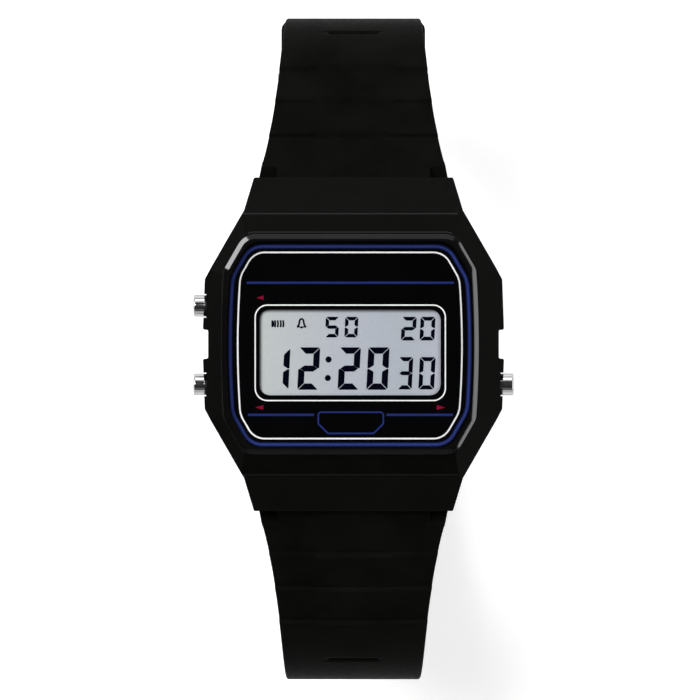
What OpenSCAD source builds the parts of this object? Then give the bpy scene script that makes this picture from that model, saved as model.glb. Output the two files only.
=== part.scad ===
// Digital wristwatch with a moulded resin case and strap, in millimetres.
// The origin is the middle of the case back's outer face. +X points to 3 o'clock, +Y to 12 o'clock and +Z out of
// the display. The strap is unbuckled and hangs in its moulded curve, and the watch stands on the strap's flat tail.

/* [Case] */
// Length of the case over its lug ends
case_l = 38.2; // [37.6:0.1:40]
// Thickness from the back's outer face to the top of the bezel
case_t = 8.5; // [8.4:0.1:9.5]
// Width across the sides, where they meet the corners
side_w = 34; // [33.6:0.1:35]
// Distance from the centre to the end of each side
side_y = 7.4; // [6.9:0.1:7.8]
// Width across the outer ends of the slanted corners
corner_w = 32.5; // [32:0.1:33.2]
// Distance from the centre to the outer ends of the slanted corners
corner_y = 8.8; // [8.4:0.1:9.2]
// Width of the shoulders over the lugs
shoulder_w = 25; // [24.4:0.1:25.6]
// Distance from the centre to the shoulders
shoulder_y = 15.3; // [14.9:0.1:15.6]
// Width of the lug ends
lug_w = 22.8; // [22.4:0.1:23.6]
// Radius on the upright edges of the case
edge_r = 0.4; // [0.2:0.05:0.6]
// Distance from the centre to the crease across each hood
crease_y = 15; // [14.4:0.1:15.6]
// Fall from the top of the bezel to the crease
crease_drop = 1.6; // [1.4:0.1:1.9]
// Fall from the top of the bezel to the hood's end edge
hood_drop = 4.1; // [3.7:0.1:4.2]
// Fall from the top of the bezel to the edge of each side
side_drop = 2.3; // [2:0.1:2.8]
// Width over the button guards
guard_w = 34.4; // [34.1:0.1:35.2]
// Length of the notch between the guards
notch_l = 3.3; // [2.6:0.1:3.6]
// Depth of the notch between the guards
notch_d = 0.6; // [0.3:0.1:0.8]
// Height of the case's underside
under_z = 0.6; // [0.5:0.05:0.8]
// Bevel under each side
under_bevel = 1.5; // [0.8:0.1:1.8]
// Bevel under each end
end_bevel = 0.4; // [0.3:0.05:0.5]

/* [Bezel and crystal] */
// Sideways place of the bezel and display
face_x = -0.4; // [-0.6:0.05:0.6]
// Width of the bezel
bezel_w = 29.3; // [28.9:0.1:29.6]
// Length of the bezel
bezel_l = 25; // [24.6:0.1:25.4]
// Distance from the display's centre to the bezel's slanted edges
bezel_slant = 16.7; // [16.4:0.05:16.8]
// Bulge of the bezel's sides
bezel_bulge = 0.3; // [0.1:0.05:0.4]
// Radius of the corners at the bezel's ends
bezel_r = 2.6; // [2:0.1:3]
// Radius of the corners at the bezel's sides
bezel_side_r = 4.6; // [3:0.1:5]
// Height of the bezel over the slopes around it
bezel_h = 0.6; // [0.4:0.05:0.8]
// Width of the polished slope along the bezel's outer edge
bezel_bevel = 0.5; // [0.3:0.05:0.5]
// Fall of the polished slope
bezel_fall = 0.2; // [0.1:0.02:0.24]
// Width of the crystal
crystal_w = 28.1; // [27.8:0.05:28.3]
// Length of the crystal
crystal_l = 23.5; // [23.2:0.05:23.8]
// Distance from the display's centre to the crystal's slanted edges
crystal_slant = 15.8; // [15.7:0.05:15.9]
// Bulge of the crystal's sides
crystal_bulge = 0.3; // [0.1:0.05:0.4]
// Thickness of the crystal
crystal_t = 1.5; // [1.3:0.05:1.6]
// Fall from the bezel's top to the crystal's top
crystal_drop = 0.12; // [0.05:0.01:0.3]
// Gap around the crystal
crystal_gap = 0.05; // [0.02:0.01:0.1]
// Radius of the corners at the crystal's ends
crystal_r = 2.3; // [1.8:0.1:2.6]
// Radius of the corners at the crystal's sides
crystal_side_r = 4.3; // [3:0.1:4.6]
// Bevel on the crystal's top edge
crystal_bevel = 0.2; // [0.1:0.05:0.3]

/* [Display] */
// Thickness of the printed mask under the crystal
mask_t = 0.2; // [0.1:0.02:0.24]
// Width of the mask's window
window_w = 20.7; // [20:0.1:21]
// Height of the mask's window
window_h = 9.8; // [9.4:0.1:10.2]
// Fall from the display's centre to the window's centre
window_drop = 0.93; // [0.6:0.01:1.1]
// Width of the liquid crystal panel
panel_w = 22.4; // [22:0.1:22.8]
// Height of the liquid crystal panel
panel_h = 11.4; // [11:0.1:11.8]
// Thickness of the liquid crystal panel
panel_t = 1.2; // [1:0.05:1.25]
// Thickness of the reflector behind the panel
reflector_t = 0.3; // [0.2:0.05:0.4]
// Width of each contact strip between the panel and the circuit board
zebra_w = 1.2; // [1:0.05:1.3]

/* [Module] */
// Width of the hollow in the case
hollow_w = 25.2; // [25:0.1:25.4]
// Length of the hollow in the case
hollow_l = 22; // [21.8:0.1:22.4]
// Distance from the centre to the hollow's slanted corners
hollow_slant = 13.8; // [13.7:0.05:13.9]
// Wall of the ledge that carries the crystal
ledge_t = 0.4; // [0.3:0.05:0.5]
// Gap between the module and the case
module_gap = 0.2; // [0.1:0.05:0.3]
// Thickness of the circuit board
board_t = 0.6; // [0.5:0.05:0.65]
// Diameter of the button cell
cell_d = 20; // [19.6:0.1:20]
// Thickness of the button cell
cell_t = 1.6; // [1.5:0.05:1.65]
// Thickness of the clip that holds the cell
clip_t = 0.15; // [0.1:0.01:0.2]
// Thickness of the sheet between the cell and the circuit board
sheet_t = 0.1; // [0.08:0.01:0.12]
// Diameter of the buzzer's disc
buzzer_d = 18; // [16:0.5:18]
// Thickness of the buzzer's disc
buzzer_t = 0.2; // [0.15:0.01:0.22]
// Diameter of the chip's cover
chip_d = 6.4; // [5.6:0.2:7]
// Height of the chip's cover
chip_t = 0.6; // [0.4:0.05:0.7]
// Diameter of the quartz can
can_d = 1.5; // [1.2:0.1:1.6]
// Length of the quartz can
can_l = 5; // [4:0.2:5.4]
// Diameter of the buzzer's spring
buzzer_spring_d = 1; // [0.8:0.05:1.1]
// Gap between the pieces of the stack
stack_gap = 0.05; // [0.02:0.01:0.06]

/* [Case back] */
// Thickness of the back plate
back_t = 1; // [0.9:0.05:1.1]
// Width of the back plate
back_w = 28.8; // [28.4:0.1:29.2]
// Length of the back plate
back_l = 25.8; // [25.4:0.1:26]
// Distance from the centre to the back plate's slanted corners
back_slant = 17.3; // [17.2:0.05:17.4]
// Height of the plate's flange over its raised middle
flange_z = 0.4; // [0.3:0.05:0.45]
// Width of the gasket
gasket_w = 0.8; // [0.6:0.05:0.9]
// Height of the gasket
gasket_h = 0.7; // [0.5:0.05:0.8]
// Distance from the centre to the screws, sideways
screw_x = 12; // [11.9:0.05:12.1]
// Distance from the centre to the screws, lengthways
screw_y = 11.1; // [11:0.05:11.2]
// Diameter of the screws' heads
screw_head = 2.2; // [2:0.1:2.2]
// Diameter of the screws' shanks
screw_d = 0.9; // [0.8:0.02:0.96]
// Length of the screws under their heads
screw_l = 3.4; // [2.5:0.1:3.6]

/* [Buttons] */
// Height of the buttons
button_z = 4.2; // [4.1:0.05:4.5]
// Distance from the centre to the upper button
button_up = 4.4; // [4.3:0.05:4.6]
// Distance from the centre to the lower buttons
button_low = 4.6; // [4.5:0.05:4.8]
// Diameter of the buttons
button_d = 2.5; // [2.3:0.05:2.6]
// Reach of the buttons past the guards
button_show = 1.15; // [1:0.05:1.4]
// Travel of the buttons
button_travel = 0.7; // [0.4:0.05:0.75]
// Gap around the buttons in their bores
button_gap = 0.08; // [0.05:0.01:0.1]
// Diameter of the buttons' stems
stem_d = 1.2; // [1.1:0.05:1.3]
// Gap around the stems in their bores
stem_gap = 0.05; // [0.03:0.01:0.08]
// Length of the scoop around each button
scoop_l = 2.7; // [2.7:0.05:2.9]
// Depth of the scoop around each button
scoop_d = 0.1; // [0.1:0.05:0.4]

/* [Spring bars] */
// Distance from the case's end to the bar
bar_inset = 2.7; // [2.6:0.05:2.9]
// Height of the bars
bar_z = 2.6; // [2.5:0.05:2.7]
// Gap between the lugs
lug_gap = 18.1; // [18:0.05:18.3]
// Diameter of the bars' tubes
bar_d = 1.5; // [1.4:0.02:1.6]
// Diameter of the bars' tips
tip_d = 0.8; // [0.7:0.02:0.86]
// Depth of the holes in the lugs
tip_hole = 1.05; // [0.9:0.05:1.2]
// Travel of the tips
tip_travel = 1; // [0.9:0.05:1.05]
// Gap around the pins and tips in their bores
pin_gap = 0.05; // [0.03:0.01:0.08]

/* [Strap] */
// Strap above the bars' axis
strap_over = 0.9; // [0.8:0.05:0.95]
// Strap below the bars' axis
strap_under = 1.5; // [1.3:0.05:1.6]
// Radius of the strap's barrels
barrel_r = 1.5; // [1.35:0.05:1.55]
// Angle at which the strap leaves the case, below level
strap_drop = 20; // [19:0.5:21]
// Straight stretch next to the bars
strap_straight = 3.4; // [3.2:0.1:3.6]
// Radius of the buckle half's first bend
upper_bend = 27.6; // [26:0.1:29]
// Radius of the buckle half's second bend
upper_sweep = 60; // [55:1:65]
// Length of the buckle half between its bars
upper_l = 63; // [61:0.5:64]
// Radius of the hole half's first bend
lower_bend = 29.3; // [28.6:0.1:30.6]
// Radius of the hole half's second bend
lower_sweep = 34; // [33.4:0.2:36]
// Length of the hole half from its bar
lower_l = 113; // [110:0.5:115]
// Width of the strap at its tail
tail_w = 15; // [14.6:0.1:15.2]
// Width that the strap's sides run towards past the case
waist_w = 16.9; // [16.6:0.1:17.2]
// Narrowing of each side per millimetre of length
side_taper = 0.0155; // [0.012:0.0005:0.018]
// Flare of each side next to the case
flare = 2.45; // [2.2:0.05:2.6]
// Length over which the flare dies away
flare_l = 9; // [8:0.1:10]
// Distance from the bar to the strap's shoulders
shoulder_s = 3.05; // [3.05:0.05:3.3]
// Gap between the shoulders and the case's ends
shoulder_gap = 0.03; // [0.01:0.01:0.1]
// Length of the pocket in each shoulder
pocket_l = 0.8; // [0.6:0.05:1.2]
// Distances from the bar to the steps across the strap
step_at = [7.85, 12.65, 18.05];
// Depth of the steps
step_d = 0.4; // [0.2:0.05:0.5]
// Length of the steps' walls
step_wall = 0.3; // [0.2:0.05:0.4]
// Width of the ramp in the middle of each step
ramp_w = 9.9; // [8:0.1:11]
// Length of the ramp in the middle of each step
ramp_l = 0.65; // [0.5:0.05:0.8]
// Distance from the bar to the short nick past the steps
nick_at = 26.5; // [25:0.5:28]
// Width of the nick
nick_w = 5.8; // [5:0.1:7]
// Number of adjusting holes
hole_n = 11; // [7:1:12]
// Spacing of the adjusting holes
hole_pitch = 5.5; // [5:0.1:5.8]
// Diameter of the adjusting holes
hole_d = 2; // [1.8:0.1:2.4]
// Distance from the tail's end to the first hole
hole_first = 11; // [9:0.5:12]

/* [Buckle] */
// Gap between the strap and the buckle's sides
buckle_gap = 0.3; // [0.2:0.05:0.4]
// Width of the buckle's sides
buckle_rail = 1.4; // [1.2:0.1:1.5]
// Thickness of the buckle
buckle_t = 1.8; // [1.7:0.1:2]
// Distance from the pin to the buckle's end
buckle_l = 9.4; // [9:0.1:10]
// Lean at which the hanging buckle balances, in degrees
buckle_lean = 1.5; // [0:0.1:3]
// Diameter of the buckle's pin
pin_d = 1.5; // [1.4:0.02:1.6]
// Width of the tongue
tongue_w = 1.7; // [1.4:0.1:1.8]
// Thickness of the tongue
tongue_t = 0.8; // [0.6:0.05:0.9]
// Gap between the keeper and the buckle's back
keeper_room = 1.9; // [1.7:0.1:2.5]
// Length of the keeper along the strap
keeper_l = 5; // [4:0.1:5.2]
// Wall of the keeper
keeper_wall = 0.9; // [0.7:0.05:1]
// Gap between the keeper and the strap
keeper_gap = 0.25; // [0.15:0.05:0.3]

/* [Hidden] */

resin = [0.06, 0.06, 0.06];
strap_resin = [0.09, 0.09, 0.09];
steel = [0.75, 0.76, 0.78];
black = [0.03, 0.03, 0.04];
brass = [0.80, 0.66, 0.30];
board_green = [0.10, 0.35, 0.22];
slack = 0.01;
far = 60;
slant = 30;
turn_mm = PI / 180;

// Heights of the stack, from the back upwards
bezel_foot = case_t - bezel_h;
crystal_z = case_t - crystal_drop - crystal_t;
mask_z = crystal_z - mask_t;
ledge_z = mask_z - ledge_t;
panel_z = mask_z - 2 * stack_gap - panel_t;
reflector_z = panel_z - stack_gap - reflector_t;
clip_z = back_t + buzzer_t + 2 * stack_gap;
cell_z = clip_z + clip_t + stack_gap;
tray_t = cell_t + stack_gap + sheet_t;
board_z = cell_z + tray_t + stack_gap;
board_top = board_z + board_t;
panel_y = -window_drop;
window_r = 1.2;

// Places of the buttons' pieces, from the centre outwards
hollow_side = hollow_w / 2;
clip_groove = hollow_side - 0.05;
snap_t = 0.2;
stem_in = hollow_side - 0.6;
counterbore = hollow_side + 1.2;
button_out = guard_w / 2 + button_show;
head_in = counterbore + 1.6;
seal_at = head_in + 0.6;
contact_x = stem_in - button_travel - stack_gap;
contact_t = 0.15;
contact_l = 0.8;
clip_r = stem_d / 2 + 0.35;
relief_in = contact_x - contact_t - 0.15;
relief_y = 2 * clip_r + 1.1;

bar_y = case_l / 2 - bar_inset;
hood_lip = 0.65;
hood_under = case_t - hood_drop - hood_lip;
barrel_gap = 0.35;
strap_side = lug_gap / 2 - 0.15;
plate_gap = 0.1;
buckle_back = buckle_t / 2 + 0.2;
keeper_at = upper_l - buckle_back - keeper_room - keeper_l / 2;
screw_hole = screw_d / 2 + 0.01;

// A strap half is [radius of the first bend, radius of the second, turn of the second, length]
upper_half = [upper_bend, upper_sweep, 90, upper_l];
lower_half = [lower_bend, lower_sweep, 90, lower_l];

// Plane outlines

function unit(v) = v / norm(v);

// The arc that replaces corner b of the path a, b, c. Of two radii, the second is for wide corners.
function fillet(a, b, c, radii, n) =
    let(u = unit(a - b), w = unit(c - b), open = acos(u * w))
    open > 165 ? [b] :
    let(r = is_num(radii) ? radii : radii[open > 135 ? 1 : 0],
        o = b + unit(u + w) * r / sin(open / 2),
        p = b + u * r / tan(open / 2) - o,
        q = b + w * r / tan(open / 2) - o,
        start = atan2(p[1], p[0]),
        turn = (atan2(q[1], q[0]) - start + 540) % 360 - 180)
    [for (i = [0:n]) o + r * [cos(start + turn * i / n), sin(start + turn * i / n)]];

function rounded(path, r, n = 4) =
    let(m = len(path))
    [for (i = [0:m - 1]) each fillet(path[(i + m - 1) % m], path[i], path[(i + 1) % m], r, n)];

function reversed(path) = [for (i = [len(path) - 1:-1:0]) path[i]];

// A quarter of an outline, repeated in all four quarters
function four_ways(quarter) = concat(
    quarter,
    reversed([for (p = quarter) [p[0], -p[1]]]),
    [for (p = quarter) [-p[0], -p[1]]],
    reversed([for (p = quarter) [-p[0], p[1]]])
);

// Eight-sided outline with 60 degree corners, its sides bulging in an even curve
function octagon(w, l, s, bulge = 0) =
    let(end_x = (s - sin(slant) * l / 2) / cos(slant),
        side_x = w / 2 - bulge,
        side_end = (s - cos(slant) * side_x) / sin(slant))
    four_ways(concat(
        [[end_x, l / 2], [side_x, side_end]],
        bulge > 0 ? [for (t = [0.6, 0.2]) [side_x + bulge * (1 - t * t), side_end * t]] : []
    ));

module crystal_outline(grow = 0) {
    polygon(rounded(
        octagon(crystal_w + 2 * grow, crystal_l + 2 * grow, crystal_slant + grow, crystal_bulge),
        [crystal_r + grow, crystal_side_r + grow]));
}

module bezel_outline(grow = 0) {
    polygon(rounded(
        octagon(bezel_w + 2 * grow, bezel_l + 2 * grow, bezel_slant + grow, bezel_bulge),
        [bezel_r + grow, bezel_side_r + grow]));
}

module hollow_outline(grow = 0) {
    polygon(rounded(octagon(hollow_w + 2 * grow, hollow_l + 2 * grow, hollow_slant + grow), 1));
}

module back_outline(grow = 0) {
    polygon(rounded(octagon(back_w + 2 * grow, back_l + 2 * grow, back_slant + grow), 1));
}

module rounded_box(w, l, r) {
    polygon(rounded([[w, l], [w, -l], [-w, -l], [-w, l]] / 2, r));
}

// Shapes that carry plane outlines

// Extrudes a side view, drawn in Y and Z, across the watch
module across(w) {
    rotate([90, 0, 90]) linear_extrude(height = w, center = true) children();
}

// Extrudes a front view, drawn in X and Z, along the watch
module along(l) {
    rotate([90, 0, 0]) linear_extrude(height = l, center = true) children();
}

module slab(z, t) {
    translate([0, 0, z]) linear_extrude(height = t) children();
}

// Round wire wound along +Z, of 6 sides and 12 steps a turn
module coil(r, wire, l, turns) {
    sides = 6;
    n = turns * 12;
    rise = (l - 2 * wire) / n;
    points = [for (j = [0:n], i = [0:sides - 1])
        let(out = r + wire * cos(60 * i))
        [out * cos(30 * j), out * sin(30 * j), wire + rise * j + wire * sin(60 * i)]];
    walls = [for (j = [0:n - 1], i = [0:sides - 1])
        let(a = sides * j + i, b = sides * j + (i + 1) % sides)
        each [[a, b, b + sides], [a, b + sides, a + sides]]];
    caps = [for (i = [1:sides - 2]) each [[0, i + 1, i], [sides * n, sides * n + i, sides * n + i + 1]]];
    polyhedron(points, concat(walls, caps));
}

// The case

case_outline = rounded(four_ways([
    [lug_w / 2, case_l / 2],
    [shoulder_w / 2, shoulder_y],
    [corner_w / 2, corner_y],
    [side_w / 2, side_y],
    [guard_w / 2, notch_l / 2],
    [guard_w / 2 - notch_d, notch_l / 2]
]), edge_r / 2);

// The solid block of the case, before it is hollowed
module case_block() {
    fall = (side_drop - bezel_h) / (side_w / 2 - bezel_w / 2 + abs(face_x));
    reach = 8;
    crease_z = case_t - crease_drop;
    hood_z = case_t - hood_drop;
    intersection() {
        slab(under_z, case_t) polygon(case_outline);
        across(far) polygon([
            [-bar_y - 1.4, under_z], [bar_y + 1.4, under_z],
            [case_l / 2, under_z + end_bevel], [case_l / 2 + 1, hood_z],
            [case_l / 2, hood_z], [crease_y, crease_z], [bezel_l / 2, bezel_foot],
            [-bezel_l / 2, bezel_foot], [-crease_y, crease_z], [-case_l / 2, hood_z],
            [-case_l / 2 - 1, hood_z], [-case_l / 2, under_z + end_bevel]
        ]);
        along(far) polygon([
            [under_bevel - guard_w / 2, under_z], [guard_w / 2 - under_bevel, under_z],
            [guard_w / 2 + 1, under_z + under_bevel + 1], [face_x + bezel_w / 2 + reach, bezel_foot - reach * fall],
            [face_x + bezel_w / 2, bezel_foot], [face_x - bezel_w / 2, bezel_foot],
            [face_x - bezel_w / 2 - reach, bezel_foot - reach * fall], [-guard_w / 2 - 1, under_z + under_bevel + 1]
        ]);
        slanted_slopes(slant, fall, reach);
        slanted_slopes(-slant, fall, reach);
    }
}

// The slopes that fall from the bezel to two opposite corners
module slanted_slopes(angle, fall, reach) {
    translate([face_x, 0, 0]) rotate([0, 0, angle]) along(far) polygon([
        [-bezel_slant - reach, 0], [bezel_slant + reach, 0], [bezel_slant + reach, bezel_foot - reach * fall],
        [bezel_slant, bezel_foot], [-bezel_slant, bezel_foot], [-bezel_slant - reach, bezel_foot - reach * fall]
    ]);
}

module bezel() {
    foot = bezel_foot - 0.5;
    translate([face_x, 0, 0]) hull() {
        slab(foot, case_t - bezel_fall - foot) bezel_outline();
        slab(foot, case_t - foot) bezel_outline(-bezel_bevel);
    }
}

// Room for one end of the strap, under the hood and between the lugs
module strap_room() {
    r = barrel_r + barrel_gap;
    translate([0, bar_y, bar_z]) rotate([0, 90, 0]) cylinder(r = r, h = lug_gap, center = true, $fn = 64);
    across(lug_gap) polygon([
        [bar_y - r, -1], [bar_y - r, bar_z], [bar_y, bar_z + r],
        [case_l / 2, hood_under], [case_l / 2 + 2, hood_under], [case_l / 2 + 2, -1]
    ]);
    translate([0, bar_y, bar_z]) rotate([0, 90, 0])
        cylinder(r = tip_d / 2 + pin_gap, h = lug_gap + 2 * tip_hole, center = true, $fn = 32);
}

// Puts its children on one side of the case, with +X pointing out along a button's axis
module at_button(side, y) {
    translate([0, y, button_z]) rotate([0, 0, side > 0 ? 0 : 180]) children();
}

module at_light() { at_button(-1, button_up) children(); }
module at_mode() { at_button(-1, -button_low) children(); }
module at_alarm() { at_button(1, -button_low) children(); }

// A round bar along +X between two distances from the centre
module rod(r, from, to, sides = 48) {
    translate([from, 0, 0]) rotate([0, 90, 0]) cylinder(r = r, h = to - from, $fn = sides);
}

module button_bore() {
    rod(stem_d / 2 + stem_gap, hollow_side - 1, counterbore + 1);
    rod(button_d / 2 + button_gap, counterbore, far / 2);
    translate([guard_w / 2 - notch_d / 2 - scoop_d, -scoop_l / 2, -far / 2]) cube([far, scoop_l, far]);
}

module case_shell() {
    color(resin) difference() {
        union() {
            case_block();
            bezel();
        }
        translate([face_x, 0, 0]) {
            slab(mask_z, far) crystal_outline(crystal_gap);
        }
        slab(ledge_z - 0.5, far) hollow_outline(-0.4);
        slab(0, ledge_z) hollow_outline();
        slab(0, back_t) back_outline(plate_gap);
        slab(back_t - 0.5, gasket_h + 0.5) difference() {
            hollow_outline(0.4 + gasket_w);
            hollow_outline(0.3);
        }
        for (x = [-screw_x, screw_x], y = [-screw_y, screw_y])
            translate([x, y, 0]) cylinder(r = screw_hole, h = back_t + screw_l, $fn = 32);
        strap_room();
        mirror([0, 1, 0]) strap_room();
        at_light() button_bore();
        at_mode() button_bore();
        at_alarm() button_bore();
    }
}

module crystal() {
    color([0.75, 0.82, 0.90, 0.35]) translate([face_x, 0, 0]) hull() {
        slab(crystal_z, crystal_t - crystal_bevel) crystal_outline();
        slab(crystal_z, crystal_t) crystal_outline(-crystal_bevel);
    }
}

module dial_mask() {
    color(black) translate([face_x, 0, 0]) slab(mask_z, mask_t) difference() {
        crystal_outline();
        translate([0, panel_y]) rounded_box(window_w, window_h, window_r);
    }
}

// The module

module at_panel() { translate([face_x, panel_y, 0]) children(); }

module lcd_panel() {
    color([0.72, 0.75, 0.78]) at_panel() {
        slab(panel_z, panel_t / 2) rounded_box(panel_w, panel_h, 0.3);
        slab(panel_z + panel_t / 2, panel_t / 2) rounded_box(panel_w, panel_h - 0.8, 0.3);
    }
}

module lcd_reflector() {
    color([0.85, 0.87, 0.86]) at_panel() slab(reflector_z, reflector_t)
        rounded_box(panel_w - 1.2, panel_h - 2 * zebra_w - 1, 0.5);
}

// The rooms beside the three buttons, from x outwards, where their stems come through
module button_reliefs(x, z, t) {
    for (p = [[-1, button_up], [-1, -button_low], [1, -button_low]])
        translate([p[0] * (x + far / 2), p[1], z + t / 2]) cube([far, relief_y, t], center = true);
}

module module_frame() {
    top = mask_z - stack_gap;
    room = board_top + 2.2;
    color([0.12, 0.12, 0.13]) difference() {
        slab(board_top + stack_gap, top - board_top - stack_gap) hollow_outline(-0.4 - module_gap);
        at_panel() slab(board_z, far) rounded_box(panel_w + 0.2, panel_h + 0.2, 0.4);
        slab(board_z, room - board_z) translate([0, 7.1]) rounded_box(17, 3.6, 0.6);
        button_reliefs(contact_x - contact_l - 0.1, board_z, button_z + clip_r + 0.2 - board_z);
    }
}

module zebra_strips() {
    zebra_l = 2 * (contact_x - contact_l - abs(face_x) - 0.2);
    color([0.55, 0.55, 0.58]) at_panel() for (y = [-1, 1])
        translate([0, y * (panel_h - zebra_w) / 2, (board_top + panel_z) / 2])
            cube([zebra_l, zebra_w, panel_z - board_top], center = true);
}

module circuit_board() {
    color(board_green) difference() {
        slab(board_z, board_t) hollow_outline(-module_gap);
        button_reliefs(relief_in, board_z - 1, board_t + 2);
    }
}

module chip_cover() {
    color(black) translate([1, panel_y, board_top]) rotate_extrude($fn = 64)
        polygon([
            [0, 0], [0.5 * chip_d, 0], [0.48 * chip_d, 0.33 * chip_t], [0.41 * chip_d, 0.7 * chip_t],
            [0.25 * chip_d, 0.93 * chip_t], [0, chip_t]
        ]);
}

module quartz_can() {
    color(steel) translate([-2 - can_l, 7.1, board_top + can_d / 2]) rotate([0, 90, 0]) {
        cylinder(d = can_d, h = can_l, $fn = 32);
        translate([0, 0, can_l]) cylinder(d = 0.83 * can_d, h = 0.2 * can_d, $fn = 32);
    }
}

module trimmer_capacitor() {
    color(brass) translate([1, 7.1, board_top]) {
        translate([-1.1, -1.1, 0]) cube([2.2, 2.2, 0.6]);
        difference() {
            translate([0, 0, 0.6]) cylinder(r = 0.8, h = 0.5, $fn = 32);
            translate([-1, -0.12, 0.8]) cube([2, 0.24, 1]);
        }
    }
}

module booster_coil() {
    color([0.60, 0.30, 0.15]) translate([5.6, 7.1, board_top]) {
        cylinder(r = 1.5, h = 0.3, $fn = 48);
        cylinder(r = 1.15, h = 1.8, $fn = 48);
        translate([0, 0, 1.5]) cylinder(r = 1.5, h = 0.3, $fn = 48);
    }
}

module backlight_led() {
    color([0.90, 0.80, 0.35]) translate([face_x - panel_w / 2 + 0.3, panel_y - 0.6, board_top])
        cube([1, 1.2, reflector_z - board_top - stack_gap]);
}

// Spring contacts that the buttons' stems push against
module button_contacts() {
    tab = reflector_z - board_top - 0.1;
    color(brass) for (p = [[-1, button_up], [-1, -button_low], [1, -button_low]])
        translate([0, p[1], 0]) mirror([p[0] < 0 ? 1 : 0, 0, 0]) {
            translate([contact_x - contact_t, -0.9, board_top]) cube([contact_t, 1.8, tab]);
            translate([contact_x - contact_l, -0.9, board_top]) cube([contact_l, 1.8, contact_t]);
        }
}

module insulator_sheet() {
    color([0.85, 0.75, 0.45]) slab(cell_z + cell_t + stack_gap, sheet_t)
        circle(d = cell_d + 0.2, $fn = 96);
}

module coin_cell() {
    color(steel) {
        translate([0, 0, cell_z]) cylinder(d = cell_d, h = cell_t - 0.3, $fn = 96);
        translate([0, 0, cell_z + cell_t - 0.3]) cylinder(d = cell_d - 2.4, h = 0.3, $fn = 96);
    }
}

module battery_tray() {
    color([0.20, 0.20, 0.21]) difference() {
        slab(cell_z, tray_t) hollow_outline(-module_gap);
        translate([0, 0, cell_z - 1]) cylinder(d = cell_d + 0.4, h = far, $fn = 96);
        button_reliefs(relief_in, cell_z - 1, tray_t + 2);
        translate([0, 0, cell_z - 1]) at_buzzer_spring()
            cylinder(d = buzzer_spring_d + 0.7, h = far, $fn = 32);
    }
}

module battery_clip() {
    color(steel) slab(clip_z, clip_t) difference() {
        intersection() {
            hollow_outline(-module_gap);
            union() {
                square([6, far], center = true);
                square([far, 3], center = true);
            }
        }
        circle(d = 3, $fn = 48);
    }
}

module buzzer_disc() {
    color(brass) translate([-3.2, -1.7, back_t]) {
        cylinder(d = buzzer_d, h = buzzer_t / 2, $fn = 96);
        translate([0, 0, buzzer_t / 2]) cylinder(d = buzzer_d - 3, h = buzzer_t / 2, $fn = 96);
    }
}

module at_buzzer_spring() { translate([-8.9, -7.5, 0]) children(); }

module buzzer_spring() {
    color(brass) translate([0, 0, back_t + buzzer_t / 2]) at_buzzer_spring()
        coil(buzzer_spring_d / 2, 0.1, board_z - back_t - buzzer_t / 2, 5);
}

// The back

module back_gasket() {
    color(black) slab(back_t, gasket_h) difference() {
        hollow_outline(0.35 + gasket_w);
        hollow_outline(0.35);
    }
}

module case_back() {
    color(steel) difference() {
        union() {
            slab(flange_z, back_t - flange_z) back_outline();
            slab(0, back_t) back_outline(-2.3);
        }
        for (x = [-screw_x, screw_x], y = [-screw_y, screw_y]) translate([x, y, 0]) {
            translate([0, 0, -1]) cylinder(r = screw_head / 2 + 0.1, h = 1.6, $fn = 48);
            translate([0, 0, -1]) cylinder(r = screw_d / 2 + 0.1, h = 3, $fn = 32);
        }
    }
}

module back_screws() {
    seat = 0.6;
    color(steel) for (x = [-screw_x, screw_x], y = [-screw_y, screw_y]) translate([x, y, 0]) difference() {
        union() {
            translate([0, 0, 0.1]) cylinder(r = screw_head / 2, h = seat - 0.1, $fn = 48);
            translate([0, 0, seat - slack]) cylinder(r = screw_d / 2, h = screw_l, $fn = 32);
        }
        translate([0, 0, 0.2]) cube([1.4, 0.3, 0.4], center = true);
        translate([0, 0, 0.2]) cube([0.3, 1.4, 0.4], center = true);
    }
}

// Spring bars, drawn along X at the origin

tube_end = lug_gap / 2 - 0.25;
tip_head = tube_end - 0.3;

module bar_tube() {
    rotate([0, 90, 0]) difference() {
        cylinder(d = bar_d, h = 2 * tube_end, center = true, $fn = 48);
        cylinder(d = tip_d + 0.2, h = 2 * tip_head, center = true, $fn = 32);
        cylinder(d = tip_d + 0.06, h = far, center = true, $fn = 32);
    }
}

module bar_tip() {
    rod(tip_d / 2, tip_head - 0.6, lug_gap / 2 + tip_hole - 0.15, 32);
    rod(tip_d / 2 + 0.07, tip_head - 0.7, tip_head - 0.02, 32);
}

module bar_spring() {
    inner = tip_head - 0.72;
    translate([-inner, 0, 0]) rotate([0, 90, 0]) coil(0.34, 0.08, 2 * inner, 12);
}

module at_upper_bar() { translate([0, bar_y, bar_z]) children(); }
module at_lower_bar() { translate([0, -bar_y, bar_z]) children(); }
module flipped() { mirror([1, 0, 0]) children(); }

module upper_bar_tube() { color(steel) at_upper_bar() bar_tube(); }
module upper_bar_spring() { color(steel) at_upper_bar() bar_spring(); }
module upper_bar_left_tip() { color(steel) at_upper_bar() flipped() bar_tip(); }
module upper_bar_right_tip() { color(steel) at_upper_bar() bar_tip(); }
module lower_bar_tube() { color(steel) at_lower_bar() bar_tube(); }
module lower_bar_spring() { color(steel) at_lower_bar() bar_spring(); }
module lower_bar_left_tip() { color(steel) at_lower_bar() flipped() bar_tip(); }
module lower_bar_right_tip() { color(steel) at_lower_bar() bar_tip(); }

// Buttons, drawn with +X pointing out

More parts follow.
